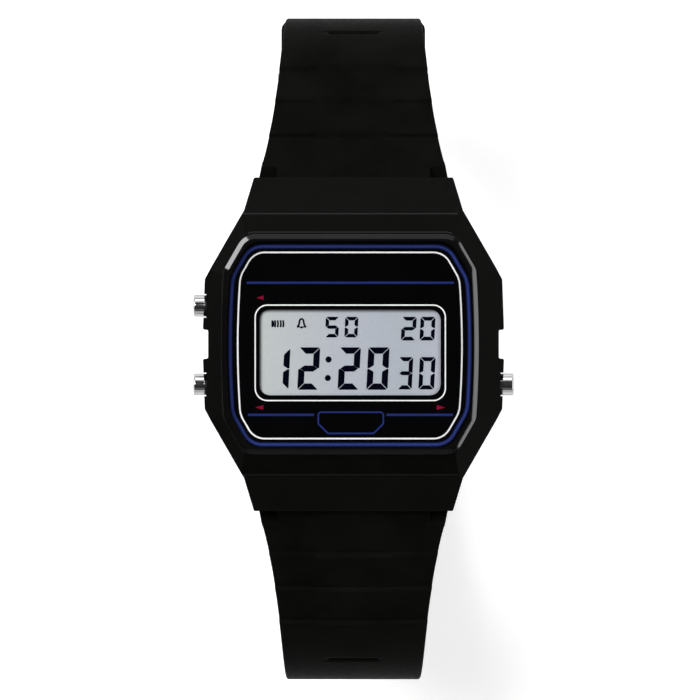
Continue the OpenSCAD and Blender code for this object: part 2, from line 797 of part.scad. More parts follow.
module push_button() {
    bevel = 0.25;
    rotate([0, 90, 0]) difference() {
        rotate_extrude($fn = 64) polygon([
            [0, stem_in], [stem_d / 2, stem_in], [stem_d / 2, clip_groove - snap_t],
            [stem_d / 2 - 0.15, clip_groove - snap_t], [stem_d / 2 - 0.15, clip_groove],
            [stem_d / 2, clip_groove], [stem_d / 2, head_in], [button_d / 2, head_in],
            [button_d / 2, seal_at - 0.3], [button_d / 2 - 0.3, seal_at - 0.3],
            [button_d / 2 - 0.3, seal_at + 0.3], [button_d / 2, seal_at + 0.3],
            [button_d / 2, button_out - bevel], [button_d / 2 - bevel, button_out], [0, button_out]
        ]);
    }
}

module button_seal() {
    wire = 0.17;
    translate([seal_at, 0, 0]) rotate([0, 90, 0]) rotate_extrude($fn = 48)
        translate([button_d / 2 - 0.3 + wire, 0]) circle(r = wire, $fn = 24);
}

module button_clip() {
    translate([clip_groove - snap_t + slack, 0, 0]) rotate([0, 90, 0])
        linear_extrude(height = snap_t - 2 * slack) difference() {
            circle(r = clip_r, $fn = 48);
            circle(r = stem_d / 2 - 0.14, $fn = 32);
            translate([0, -0.35]) square([2, 0.7]);
        }
}

module button_spring() {
    translate([counterbore, 0, 0]) rotate([0, 90, 0]) coil(0.85, 0.1, head_in - counterbore, 3);
}

module light_button() { color(steel) at_light() push_button(); }
module light_seal() { color(black) at_light() button_seal(); }
module light_clip() { color(steel) at_light() button_clip(); }
module light_spring() { color(steel) at_light() button_spring(); }
module mode_button() { color(steel) at_mode() push_button(); }
module mode_seal() { color(black) at_mode() button_seal(); }
module mode_clip() { color(steel) at_mode() button_clip(); }
module mode_spring() { color(steel) at_mode() button_spring(); }
module alarm_button() { color(steel) at_alarm() push_button(); }
module alarm_seal() { color(black) at_alarm() button_seal(); }
module alarm_clip() { color(steel) at_alarm() button_clip(); }
module alarm_spring() { color(steel) at_alarm() button_spring(); }

// The strap. Each half leaves its bar outwards and down, runs round a first bend until it hangs plumb, and then
// round a second bend under the wrist. Places on it are given by the distance s from the bar.

function first_end(h) = strap_straight + (90 - strap_drop) * turn_mm * h[0];
function second_end(h) = first_end(h) + h[2] * turn_mm * h[1];

// Angle of the strap below level
function heading(h, s) =
    s < strap_straight ? strap_drop :
    s < first_end(h) ? strap_drop + (s - strap_straight) / h[0] / turn_mm :
    s < second_end(h) ? 90 + (s - first_end(h)) / h[1] / turn_mm : 90 + h[2];

function facing(t) = [sin(t), cos(t)];
function first_centre(h) = [bar_y, bar_z] + strap_straight * [cos(strap_drop), -sin(strap_drop)]
    - h[0] * facing(strap_drop);
function second_centre(h) = first_centre(h) + (h[0] - h[1]) * facing(90);

// The point of the side view at s, n above the line through the bars
function strap_point(h, s, n = 0) =
    let(t = heading(h, s))
    s < strap_straight ? [bar_y, bar_z] + s * [cos(t), -sin(t)] + n * facing(t) :
    s < first_end(h) ? first_centre(h) + (h[0] + n) * facing(t) :
    s < second_end(h) ? second_centre(h) + (h[1] + n) * facing(t) :
    second_centre(h) + (h[1] + n) * facing(t) + (s - second_end(h)) * [cos(t), -sin(t)];

function half_width(s) = max(tail_w / 2,
    waist_w / 2 - side_taper * s + flare * exp(-(s - shoulder_s) / flare_l));

function spread(a, b, step) = let(n = ceil((b - a) / step)) [for (i = [0:n]) a + (b - a) * i / n];

// Puts its children at s, with +Y along the strap and +Z out of its outer face
module at_strap(h, s) {
    p = strap_point(h, s);
    translate([0, p[0], p[1]]) rotate([-heading(h, s), 0, 0]) children();
}

// Side view of the strap's band
module band(h) {
    stations = spread(0, h[3], 2);
    polygon(concat(
        [for (s = stations) strap_point(h, s, strap_over)],
        [for (s = reversed(stations)) strap_point(h, s, -strap_under)]
    ));
}

// Side view of what the flat slats and the walls between them take off the outer face
module slat_cuts(h) {
    last = len(step_at) - 1;
    starts = [for (i = [0:last]) i == 0 ? strap_straight : step_at[i - 1] + step_wall];
    high = strap_over + 1.2;
    polygon(concat(
        [for (i = [0:last]) each [
            strap_point(h, starts[i], strap_over), strap_point(h, step_at[i], strap_over - step_d)]],
        [strap_point(h, step_at[last] + step_wall, strap_over)],
        [for (s = reversed(spread(strap_straight, step_at[last] + step_wall, 2))) strap_point(h, s, high)]
    ));
}

// A cut of even width across the strap's middle, its walls leaning in towards the strap's end
module ramp(w, l, depth, lead) {
    intersection() {
        slab(strap_over - 2, 4) polygon([[w, -lead], [w, 0], [w - 2 * l, l], [2 * l - w, l], [-w, 0], [-w, -lead]] / 2
                                        * [[1, 0], [0, 2]]);
        across(far) polygon([
            [-lead, strap_over + 0.02], [0, strap_over - depth], [l, strap_over + 0.02], [l, 3], [-lead, 3]]);
    }
}

// Everything inside the strap's own width, seen from above and, below the first bend, from the front
module strap_width(h) {
    upper = spread(shoulder_s, first_end(h), 2.5);
    lower = spread(first_end(h), h[3], 4);
    intersection() {
        slab(-far * 2, far * 3) polygon(concat(
            [[half_width(shoulder_s) + 0.1, -far]],
            [for (s = upper) [half_width(s), strap_point(h, s)[0]]],
            [[half_width(first_end(h)), far], [-half_width(first_end(h)), far]],
            [for (s = reversed(upper)) [-half_width(s), strap_point(h, s)[0]]],
            [[-half_width(shoulder_s) - 0.1, -far]]
        ));
        along(far * 3) polygon(concat(
            [[-far, far], [far, far], [far, strap_point(h, first_end(h))[1]]],
            [for (s = lower) [half_width(s), strap_point(h, s)[1]]],
            [[tail_w / 2, -2 * far], [-tail_w / 2, -2 * far]],
            [for (s = reversed(lower)) [-half_width(s), strap_point(h, s)[1]]],
            [[-far, strap_point(h, first_end(h))[1]]]
        ));
    }
}

// What both halves share: the band, its shoulders, its steps and the barrel on the case's bar
module strap_half(h) {
    difference() {
        union() {
            intersection() {
                across(far) difference() {
                    band(h);
                    slat_cuts(h);
                }
                strap_width(h);
            }
            at_strap(h, 0) rod(barrel_r, -strap_side, strap_side, 64);
        }
        at_strap(h, 0) rod(bar_d / 2 + pin_gap, -far, far);
        for (side = [-1, 1]) translate([side * (strap_side + far / 2), 0, 0]) {
            translate([0, case_l / 2 + shoulder_gap - far / 2, 0]) cube([far, far, 20], center = true);
            at_strap(h, shoulder_s) translate([-far / 2 + 0.05, -1, 0.1]) cube([far, pocket_l + 1, 4]);
        }
        for (s = step_at) at_strap(h, s) ramp(ramp_w, ramp_l, step_d, 0);
        at_strap(h, nick_at) ramp(nick_w, 0.45, 0.3, 0.9);
    }
}

pin_bore = pin_d / 2 + pin_gap;
nose_r = strap_under - 0.1;
tongue_slot = tongue_w / 2 + 0.2;

module buckle_strap() {
    color(strap_resin) difference() {
        union() {
            strap_half(upper_half);
            at_strap(upper_half, upper_l) rod(nose_r, 0.15 - tail_w / 2, tail_w / 2 - 0.15, 64);
        }
        at_strap(upper_half, upper_l) rod(pin_bore, -far, far);
        at_strap(upper_half, upper_l)
            translate([-tongue_slot, -nose_r - 0.7, -far / 2]) cube([2 * tongue_slot, far, far]);
    }
}

module hole_strap() {
    tip = 4;
    color(strap_resin) mirror([0, 1, 0]) difference() {
        strap_half(lower_half);
        for (i = [0:hole_n - 1]) at_strap(lower_half, lower_l - hole_first - i * hole_pitch)
            cylinder(d = hole_d, h = 8, center = true, $fn = 32);
        at_strap(lower_half, lower_l) slab(-3, 6) difference() {
            translate([-tail_w, -tip]) square([2 * tail_w, 2 * tip]);
            polygon(rounded([
                [tail_w / 2, -2 * tip], [tail_w / 2, -tip], [tail_w / 4, 0],
                [-tail_w / 4, 0], [-tail_w / 2, -tip], [-tail_w / 2, -2 * tip]], 1));
        }
    }
}

// The buckle. Its frame and tongue hang from the pin, with -Z along them and +Y out of the strap

module at_pin() {
    p = strap_point(upper_half, upper_l);
    translate([0, p[0], p[1]]) rotate([-buckle_lean, 0, 0]) children();
}

buckle_in = tail_w / 2 + buckle_gap;
buckle_out = buckle_in + buckle_rail;

module buckle_pin() {
    color(steel) at_pin() rod(pin_d / 2, -buckle_out + 0.1, buckle_out - 0.1);
}

module buckle_frame() {
    top = buckle_back;
    color(steel) at_pin() difference() {
        along(buckle_t) difference() {
            polygon(rounded([
                [buckle_out, top], [buckle_out, -buckle_l], [-buckle_out, -buckle_l], [-buckle_out, top]], 1));
            polygon(rounded([
                [buckle_in, top + 2], [buckle_in, buckle_rail - buckle_l],
                [-buckle_in, buckle_rail - buckle_l], [-buckle_in, top + 2]], 0.6));
        }
        rod(pin_bore, -far, far);
    }
}

module buckle_tongue() {
    loop_r = pin_bore + 0.5;
    rest = buckle_t / 2 + 0.05;
    color(steel) at_pin() difference() {
        union() {
            rod(loop_r, -tongue_w / 2, tongue_w / 2);
            across(tongue_w) polygon([
                [rest, 0.3], [rest + tongue_t, 0], [rest + tongue_t, -buckle_l + 0.3],
                [rest + 0.2, -buckle_l + 0.1], [rest, -buckle_l + 0.4], [rest, -1], [0, -loop_r], [0, -0.9]]);
        }
        rod(pin_bore, -far, far);
    }
}

module keeper_loop() {
    side = half_width(keeper_at) + keeper_gap;
    low = -strap_under - keeper_gap;
    high = strap_over + strap_over + strap_under + keeper_gap;
    wall = keeper_wall;
    color(strap_resin) at_strap(upper_half, keeper_at) along(keeper_l) difference() {
        polygon(rounded([
            [side + wall, high + wall], [side + wall, low - wall],
            [-side - wall, low - wall], [-side - wall, high + wall]], 1.2));
        polygon(rounded([[side, high], [side, low], [-side, low], [-side, high]], 0.2));
    }
}

case_shell();
crystal();
dial_mask();
lcd_panel();
lcd_reflector();
module_frame();
zebra_strips();
circuit_board();
chip_cover();
quartz_can();
trimmer_capacitor();
booster_coil();
backlight_led();
button_contacts();
insulator_sheet();
coin_cell();
battery_tray();
battery_clip();
buzzer_disc();
buzzer_spring();
back_gasket();
case_back();
back_screws();
upper_bar_tube();
upper_bar_spring();
upper_bar_left_tip();
upper_bar_right_tip();
lower_bar_tube();
lower_bar_spring();
lower_bar_left_tip();
lower_bar_right_tip();
light_button();
light_seal();
light_clip();
light_spring();
mode_button();
mode_seal();
mode_clip();
mode_spring();
alarm_button();
alarm_seal();
alarm_clip();
alarm_spring();
buckle_strap();
buckle_pin();
buckle_frame();
buckle_tongue();
keeper_loop();
hole_strap();
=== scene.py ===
"""Looks of the digital wristwatch: moulded resin case and strap, polished bezel, printed face and display. The frame is
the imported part's, in metres: +X to 3 o'clock, +Y to 12 o'clock, +Z out of the display. Surfaces are worked out in
millimetres and scaled as they become meshes."""

import math

import bmesh
import bpy
import numpy as np
from mathutils import Matrix, Vector


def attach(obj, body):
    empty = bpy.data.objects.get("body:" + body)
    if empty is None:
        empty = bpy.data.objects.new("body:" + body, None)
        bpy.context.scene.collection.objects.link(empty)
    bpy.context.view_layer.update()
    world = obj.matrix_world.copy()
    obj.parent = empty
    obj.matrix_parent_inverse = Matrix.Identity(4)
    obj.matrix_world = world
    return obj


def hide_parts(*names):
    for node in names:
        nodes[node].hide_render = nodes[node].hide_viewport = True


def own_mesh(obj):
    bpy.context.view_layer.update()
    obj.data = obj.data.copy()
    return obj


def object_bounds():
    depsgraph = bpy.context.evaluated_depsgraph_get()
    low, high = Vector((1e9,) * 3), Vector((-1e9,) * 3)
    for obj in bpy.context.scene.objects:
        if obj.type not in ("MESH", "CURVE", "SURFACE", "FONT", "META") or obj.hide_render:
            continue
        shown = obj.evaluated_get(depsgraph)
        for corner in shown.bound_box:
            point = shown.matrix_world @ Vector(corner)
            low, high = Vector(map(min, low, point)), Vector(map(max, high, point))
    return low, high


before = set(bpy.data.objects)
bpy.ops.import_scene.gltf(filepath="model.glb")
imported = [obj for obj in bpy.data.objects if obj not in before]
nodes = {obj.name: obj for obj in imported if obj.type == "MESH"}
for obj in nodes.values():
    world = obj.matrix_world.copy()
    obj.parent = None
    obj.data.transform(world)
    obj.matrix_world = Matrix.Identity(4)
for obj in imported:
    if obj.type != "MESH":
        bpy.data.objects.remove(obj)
cad_box = [list(c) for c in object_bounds()]
MM = 0.001

# Sizes in millimetres, as in the part's source
FACE_X = -0.4
BEZEL_FOOT = 7.9
BEZEL_W, BEZEL_L, BEZEL_SLANT = 29.3, 25, 16.7
END_FALL, SIDE_FALL = 0.4, 0.618
PRINT_Y, PRINT_Z, FIGURE_Z = -0.145, 6.9, 6.596
BUTTONS = (("light", -1, 4.4), ("mode", -1, -4.6), ("alarm", 1, -4.6))
BUTTON_Z, SPRING_SEAT = 4.2, 13.8
BAR_Y, BAR_Z = 16.4, 2.6
STRAIGHT, DROP = 3.4, 20.0
OVER, UNDER = 0.9, 1.5
UPPER = {"bend": 27.6, "sweep": 60.0, "length": 63.0}
LOWER = {"bend": 29.3, "sweep": 34.0, "length": 113.0}
STEPS = (7.85, 12.65, 18.05)
SLAT_FALL, SLAT_RISE = 0.4, 0.2
RAMP_L, RAMP_D, RAMP_W = 0.65, 0.6, 4.95
BARREL_R, BARREL_W, BUCKLE_R, BAR_BORE = 1.5, 8.88, 1.4, 0.8
TAIL, TIP = 4.6, 0.5
HOLES, HOLE_R, HOLE_STEP, FIRST_HOLE = 11, 1.0, 5.5, 11
CASE_END = 19.13
BULGE = 0.3


# Meshes from arrays

def mesh_piece(name, points, faces, smooth=True, uv=None):
    """Puts points in millimetres and a list of faces into one object, with its place in the mesh."""
    mesh = bpy.data.meshes.new(name)
    mesh.from_pydata((np.asarray(points, float) * MM).tolist(), [], faces)
    mesh.polygons.foreach_set("use_smooth", np.full(len(mesh.polygons), smooth))
    if uv is not None:
        layer = mesh.uv_layers.new(name="UVMap")
        corner = np.empty(len(mesh.loops), int)
        mesh.loops.foreach_get("vertex_index", corner)
        layer.data.foreach_set("uv", np.asarray(uv, float)[corner].ravel())
    mesh.update()
    piece = bpy.data.objects.new(name, mesh)
    bpy.context.scene.collection.objects.link(piece)
    return piece


def grid_faces(m, n, wrap_m=False, wrap_n=False):
    """Quads between the neighbouring points of an m by n grid, closed round either way where asked."""
    i = np.arange(m if wrap_m else m - 1)[:, None]
    j = np.arange(n if wrap_n else n - 1)[None, :]
    a = i * n + j
    b = i * n + (j + 1) % n
    c = ((i + 1) % m) * n + (j + 1) % n
    d = ((i + 1) % m) * n + j
    return np.stack([a, b, c, d], -1).reshape(-1, 4).tolist()


def capped(m, n):
    """Faces of m rings of n points each, closed round every ring and filled at both ends."""
    return grid_faces(m, n, wrap_n=True) + [list(range(n)), list(range((m - 1) * n, m * n))[::-1]]


def join(parts):
    """Stacks several (points, faces) pairs into one."""
    points, faces, n = [], [], 0
    for p, f in parts:
        points.append(np.asarray(p, float))
        faces += [[k + n for k in face] for face in f]
        n += len(p)
    return np.concatenate(points), faces


def outward(piece):
    """Turns a closed piece's faces outwards."""
    work = bmesh.new()
    work.from_mesh(piece.data)
    bmesh.ops.recalc_face_normals(work, faces=work.faces)
    work.to_mesh(piece.data)
    work.free()
    return piece


def crisp(piece, angle):
    """Splits a piece's edges over an angle in degrees, so that they stay sharp under smooth shading."""
    split = piece.modifiers.new("crisp", "EDGE_SPLIT")
    split.split_angle = math.radians(angle)
    return piece


def finished(piece):
    """Applies a piece's modifiers, so that what is left is one plain mesh."""
    bpy.context.view_layer.update()
    solid = piece.evaluated_get(bpy.context.evaluated_depsgraph_get())
    mesh = bpy.data.meshes.new_from_object(solid)
    piece.modifiers.clear()
    piece.data = mesh
    return piece


# Plane paths

def rounded(corners, radius, n=10):
    """Closed path whose corners are arcs: each arc's centre lies radius / sin(half the corner's angle) along the
    bisector, and its points run evenly round from one side's foot to the other's."""
    p = np.asarray(corners, float)
    radius = np.broadcast_to(np.asarray(radius, float), (len(p),))[:, None]
    u = np.roll(p, 1, 0) - p
    w = np.roll(p, -1, 0) - p
    u /= np.linalg.norm(u, axis=1)[:, None]
    w /= np.linalg.norm(w, axis=1)[:, None]
    half = np.arccos(np.clip((u * w).sum(1), -1, 1))[:, None] / 2
    middle = (u + w) / np.linalg.norm(u + w, axis=1)[:, None]
    centre = p + middle * radius / np.sin(half)
    a = p + u * radius / np.tan(half) - centre
    b = p + w * radius / np.tan(half) - centre
    start = np.arctan2(a[:, 1], a[:, 0])[:, None]
    turn = (np.arctan2(b[:, 1], b[:, 0])[:, None] - start + 3 * np.pi) % (2 * np.pi) - np.pi
    t = start + turn * np.linspace(0, 1, n)[None, :]
    arc = centre[:, None, :] + radius[:, :, None] * np.stack([np.cos(t), np.sin(t)], -1)
    return arc.reshape(-1, 2)


def octagon(width, length, slant, radii, skew=0.0, n=10, side=15):
    """Closed path of the watch's eight-sided outlines, clockwise from the upper right. The slanted sides stand at 60
    degrees, slant from the centre, or skew more on the left and skew less on the right. The radii are those of the
    corners at the ends and at the sides, and every side is cut into the same number of stations. The upright sides
    bulge by BULGE * (1 - (y / end) ** 2)."""
    c = math.cos(math.pi / 6)
    x2, y1 = width / 2 - BULGE, length / 2
    right, left = slant - skew, slant + skew
    x1, y2, x3, y3 = (right - y1 / 2) / c, (right - c * x2) * 2, (left - y1 / 2) / c, (left - c * x2) * 2
    corners = [(x1, y1), (x2, y2), (x2, -y2), (x1, -y1), (-x3, -y1), (-x2, -y3), (-x2, y3), (-x3, y1)]
    arcs = rounded(corners, [radii[k] for k in (0, 1, 1, 0, 0, 1, 1, 0)], n).reshape(8, n, 2)
    after = np.roll(arcs, -1, 0)[:, :1]
    t = np.linspace(0, 1, side + 2)[None, 1:-1, None]
    sides = arcs[:, -1:] * (1 - t) + after * t
    path = np.concatenate([arcs, sides], 1).reshape(-1, 2)
    end = np.where(path[:, 0] > 0, y2, y3)
    swell = np.clip(1 - (path[:, 1] / end) ** 2, 0, None) * BULGE
    path[:, 0] += np.sign(path[:, 0]) * np.where(np.abs(path[:, 0]) > x2 - 0.6, swell, 0)
    return path


def box_path(width, length, radius):
    w, l = width / 2, length / 2
    return rounded([(w, l), (w, -l), (-w, -l), (-w, l)], radius)


def normals_of(path):
    """Unit normals of a closed clockwise path, to its outside."""
    d = np.roll(path, -1, 0) - np.roll(path, 1, 0)
    d /= np.linalg.norm(d, axis=1)[:, None]
    return np.stack([-d[:, 1], d[:, 0]], -1)


def ribbon(path, width, z, closed=True):
    """Flat line of even width along a path: the points path +- normal * width / 2, at height z."""
    path = np.asarray(path, float)
    if closed:
        side = normals_of(path)
    else:
        d = np.gradient(path, axis=0)
        d /= np.linalg.norm(d, axis=1)[:, None]
        side = np.stack([-d[:, 1], d[:, 0]], -1)
    points = np.stack([path - side * width / 2, path + side * width / 2], 1)
    points = np.concatenate([points, np.full((len(path), 2, 1), z)], -1)
    return points.reshape(-1, 3), grid_faces(len(path), 2, wrap_m=closed)


def plate(path, z):
    """Flat filled outline at height z."""
    path = np.asarray(path, float)
    return np.column_stack([path, np.full(len(path), z)]), [list(range(len(path)))]


def facing_up(parts):
    """One mesh of flat parts, each face wound so that it looks along +Z."""
    points, faces = join(parts)
    turned = []
    for f in faces:
        q = points[f]
        area = np.sum(q[:, 0] * np.roll(q[:, 1], -1) - q[:, 1] * np.roll(q[:, 0], -1))
        turned.append(f if area > 0 else f[::-1])
    return points, turned


# Node groups that several finishes share

def new_group(name, inputs, outputs):
    group = bpy.data.node_groups.new(name, "ShaderNodeTree")
    for label, kind, value in inputs:
        socket = group.interface.new_socket(name=label, in_out="INPUT", socket_type=kind)
        if value is not None:
            socket.default_value = value
    for label, kind in outputs:
        group.interface.new_socket(name=label, in_out="OUTPUT", socket_type=kind)
    return group, group.nodes.new("NodeGroupInput"), group.nodes.new("NodeGroupOutput")


def add(tree, kind, links=(), **values):
    """One node: values set its sockets or properties by name, and links are (its input, another node's output)."""
    node = tree.nodes.new("ShaderNode" + kind)
    for key, value in values.items():
        if key in node.inputs:
            node.inputs[key].default_value = value
        elif key.replace("_", " ") in node.inputs:
            node.inputs[key.replace("_", " ")].default_value = value
        elif key.startswith("in_"):
            node.inputs[int(key[3:])].default_value = value
        else:
            setattr(node, key, value)
    for target, source in links:
        tree.links.new(source, node.inputs[target])
    return node


def own_place(tree):
    return add(tree, "TexCoord").outputs["Object"]


def multiplied(tree, a, b):
    """Product of two colours."""
    return add(tree, "Mix", [(6, a), (7, b)], data_type="RGBA", blend_type="MULTIPLY", Factor=1.0).outputs[2]


def grain_group():
    """Moulded grain: fine noise over a net of shallow pits, with a slow mottling."""
    tree, into, out = new_group(
        "moulded_grain",
        [("Scale", "NodeSocketFloat", 6000.0), ("Pits", "NodeSocketFloat", 0.4)],
        [("Height", "NodeSocketFloat"), ("Mottle", "NodeSocketFloat"), ("Speck", "NodeSocketFloat")])
    place = own_place(tree)
    fine = add(tree, "TexNoise", [("Vector", place), ("Scale", into.outputs["Scale"])], Detail=4.0, Roughness=0.6)
    pits = add(tree, "TexVoronoi", [("Vector", place), ("Scale", into.outputs["Scale"])])
    weigh = add(tree, "Math", [(0, pits.outputs["Distance"]), (1, into.outputs["Pits"])], operation="MULTIPLY")
    height = add(tree, "Math", [(0, fine.outputs["Fac"]), (1, weigh.outputs[0])], operation="ADD")
    slow = add(tree, "TexNoise", [("Vector", place)], Scale=180.0, Detail=3.0)
    speck = add(tree, "TexNoise", [("Vector", place)], Scale=2600.0, Detail=2.0)
    tree.links.new(height.outputs[0], out.inputs["Height"])
    tree.links.new(slow.outputs["Fac"], out.inputs["Mottle"])
    tree.links.new(speck.outputs["Fac"], out.inputs["Speck"])
    return tree


def brushed_group():
    """Brushed metal: noise drawn out along one axis by the Stretch vector."""
    tree, into, out = new_group(
        "brushed_lines",
        [("Stretch", "NodeSocketVector", (12000.0, 400.0, 12000.0))],
        [("Height", "NodeSocketFloat"), ("Streak", "NodeSocketFloat"), ("Cloud", "NodeSocketFloat")])
    place = own_place(tree)
    drawn = add(tree, "VectorMath", [(0, place), (1, into.outputs["Stretch"])], operation="MULTIPLY")
    lines = add(tree, "TexNoise", [("Vector", drawn.outputs[0])], Scale=1.0, Detail=5.0, Roughness=0.65)
    wide = add(tree, "VectorMath", [(0, drawn.outputs[0])], operation="SCALE", Scale=0.12)
    bands = add(tree, "TexNoise", [("Vector", wide.outputs[0])], Scale=1.0, Detail=2.0)
    cloud = add(tree, "TexNoise", [("Vector", place)], Scale=220.0, Detail=3.0)
    tree.links.new(lines.outputs["Fac"], out.inputs["Height"])
    tree.links.new(bands.outputs["Fac"], out.inputs["Streak"])
    tree.links.new(cloud.outputs["Fac"], out.inputs["Cloud"])
    return tree


def wear_group():
    """Rubbed edges: how far the rounded normal turns from the true one, broken up by noise."""
    tree, into, out = new_group(
        "rubbed_edges", [("Radius", "NodeSocketFloat", 0.0002), ("Amount", "NodeSocketFloat", 1.0)],
        [("Mask", "NodeSocketFloat")])
    soft = add(tree, "Bevel", [("Radius", into.outputs["Radius"])], samples=6)
    true = add(tree, "NewGeometry")
    match = add(tree, "VectorMath", [(0, soft.outputs[0]), (1, true.outputs["Normal"])], operation="DOT_PRODUCT")
    turn = add(tree, "Math", [(1, match.outputs["Value"])], operation="SUBTRACT", in_0=1.0)
    breakup = add(tree, "TexNoise", [("Vector", own_place(tree))], Scale=1500.0, Detail=4.0)
    chips = add(tree, "MapRange", [("Value", breakup.outputs["Fac"])], From_Min=0.4, From_Max=0.65)
    rub = add(tree, "Math", [(0, turn.outputs[0]), (1, chips.outputs[0])], operation="MULTIPLY")
    mask = add(tree, "Math", [(0, rub.outputs[0]), (1, into.outputs["Amount"])], operation="MULTIPLY",
               use_clamp=True)
    tree.links.new(mask.outputs[0], out.inputs["Mask"])
    return tree


GRAIN, BRUSHED, WEAR = grain_group(), brushed_group(), wear_group()


def use_group(tree, group, **values):
    node = tree.nodes.new("ShaderNodeGroup")
    node.node_tree = group
    for key, value in values.items():
        node.inputs[key].default_value = value
    return node


def material(name, **constants):
    """A new material and its Principled shader, with the constants set on the shader's own sockets."""
    made = bpy.data.materials.new(name)
    made.use_nodes = True
    shader = made.node_tree.nodes["Principled BSDF"]
    for key, value in constants.items():
        shader.inputs[key.replace("_", " ")].default_value = value
    return made, made.node_tree, shader


def ramp(tree, source, stops):
    node = tree.nodes.new("ShaderNodeValToRGB")
    bar = node.color_ramp
    while len(bar.elements) > 1:
        bar.elements.remove(bar.elements[-1])
    bar.elements[0].position, bar.elements[0].color = stops[0][0], (*stops[0][1], 1)
    for at, colour in stops[1:]:
        bar.elements.new(at).color = (*colour, 1)
    tree.links.new(source, node.inputs["Fac"])
    return node.outputs["Color"]


def spread(tree, source, low, high):
    """Maps a noise's usual run, 0.3 to 0.7, onto low to high."""
    return add(tree, "MapRange", [("Value", source)], From_Min=0.3, From_Max=0.7, To_Min=low,
               To_Max=high).outputs[0]


def bump(tree, shader, height, strength, distance, edge=0.0):
    """Height into the shader's Normal, over edges rounded by the radius edge."""
    node = add(tree, "Bump", [("Height", height)], Strength=strength, Distance=distance)
    if edge:
        soft = add(tree, "Bevel", Radius=edge, samples=6)
        tree.links.new(soft.outputs[0], node.inputs["Normal"])
    tree.links.new(node.outputs[0], shader.inputs["Normal"])


def scaled(tone, by, plus=0.0):
    """A colour times by, no brighter than white."""
    return tuple(min(1.0, c * by + plus) for c in tone)


def resin(name, tone, roughness, grain, depth, edge=0.00015, specular=0.5, pits=0.4, rub=0.0):
    """Moulded plastic: mottled colour, fine grain in its bump and roughness, and rounded edges."""
    made, tree, shader = material(name, Specular_IOR_Level=specular)
    g = use_group(tree, GRAIN, Scale=grain, Pits=pits)
    colour = ramp(tree, g.outputs["Mottle"], [(0.3, scaled(tone, 0.8)), (0.7, scaled(tone, 1.3, 0.0002))])
    if rub:
        w = use_group(tree, WEAR, Radius=edge * 2, Amount=rub)
        paler = (*scaled(tone, 2.2, 0.003), 1)
        colour = add(tree, "Mix", [("Factor", w.outputs["Mask"]), (6, colour)], data_type="RGBA", in_7=paler).outputs[2]
    tree.links.new(colour, shader.inputs["Base Color"])
    tree.links.new(spread(tree, g.outputs["Speck"], roughness * 0.85, roughness * 1.15), shader.inputs["Roughness"])
    bump(tree, shader, g.outputs["Height"], 0.5, depth, edge)
    return made


def metal(name, tone, roughness, stretch, depth=0.000004, edge=0.0001, cloud=0.08):
    """Brushed or turned metal: streaked colour, roughness and bump."""
    made, tree, shader = material(name, Metallic=1.0)
    g = use_group(tree, BRUSHED, Stretch=stretch)
    colour = ramp(tree, g.outputs["Streak"], [(0.35, scaled(tone, 1 - cloud)), (0.65, scaled(tone, 1 + cloud))])
    tree.links.new(colour, shader.inputs["Base Color"])
    tree.links.new(spread(tree, g.outputs["Cloud"], roughness - 0.04, roughness + 0.06), shader.inputs["Roughness"])
    bump(tree, shader, g.outputs["Height"], 0.4, depth, edge)
    return made


def ink(name, tone, roughness=0.35, centre=None):
    """Printed ink with a slight unevenness. Where centre is given, the line is lighter along its middle, across the
    piece's own V."""
    made, tree, shader = material(name, Specular_IOR_Level=0.0)
    g = use_group(tree, GRAIN, Scale=9000.0, Pits=0.0)
    colour = ramp(tree, g.outputs["Speck"], [(0.3, scaled(tone, 0.88)), (0.7, tone)])
    if centre:
        uv = add(tree, "UVMap", uv_map="UVMap")
        split = add(tree, "SeparateXYZ", [(0, uv.outputs[0])])
        rim = scaled(tone, 0.12)
        across = ramp(tree, split.outputs["Y"], [(0.0, rim), (0.28, tone), (0.5, centre), (0.72, tone), (1.0, rim)])
        colour = multiplied(tree, across, ramp(tree, g.outputs["Speck"], [(0.3, (0.86,) * 3), (0.7, (1.0,) * 3)]))
    tree.links.new(colour, shader.inputs["Base Color"])
    tree.links.new(spread(tree, g.outputs["Speck"], roughness - 0.05, roughness + 0.05), shader.inputs["Roughness"])
    return made


def crystal_gloss():
    """Clear plastic: a mirror whose cover is its Fresnel reflection, so what lies behind stays as bright as it is."""
    made, tree, shader = material("crystal_gloss", Metallic=1.0, Roughness=0.02)
    g = use_group(tree, GRAIN, Scale=900.0, Pits=0.0)
    shine = add(tree, "Fresnel", IOR=1.45)
    side = add(tree, "NewGeometry")
    front = add(tree, "Math", [(1, side.outputs["Backfacing"])], operation="SUBTRACT", in_0=1.0)
    cover = add(tree, "Math", [(0, shine.outputs[0]), (1, front.outputs[0])], operation="MULTIPLY")
    tree.links.new(cover.outputs[0], shader.inputs["Alpha"])
    tree.links.new(ramp(tree, g.outputs["Mottle"], [(0.3, (0.86, 0.88, 0.92)), (0.7, (0.95, 0.96, 0.98))]),
                   shader.inputs["Base Color"])
    return made


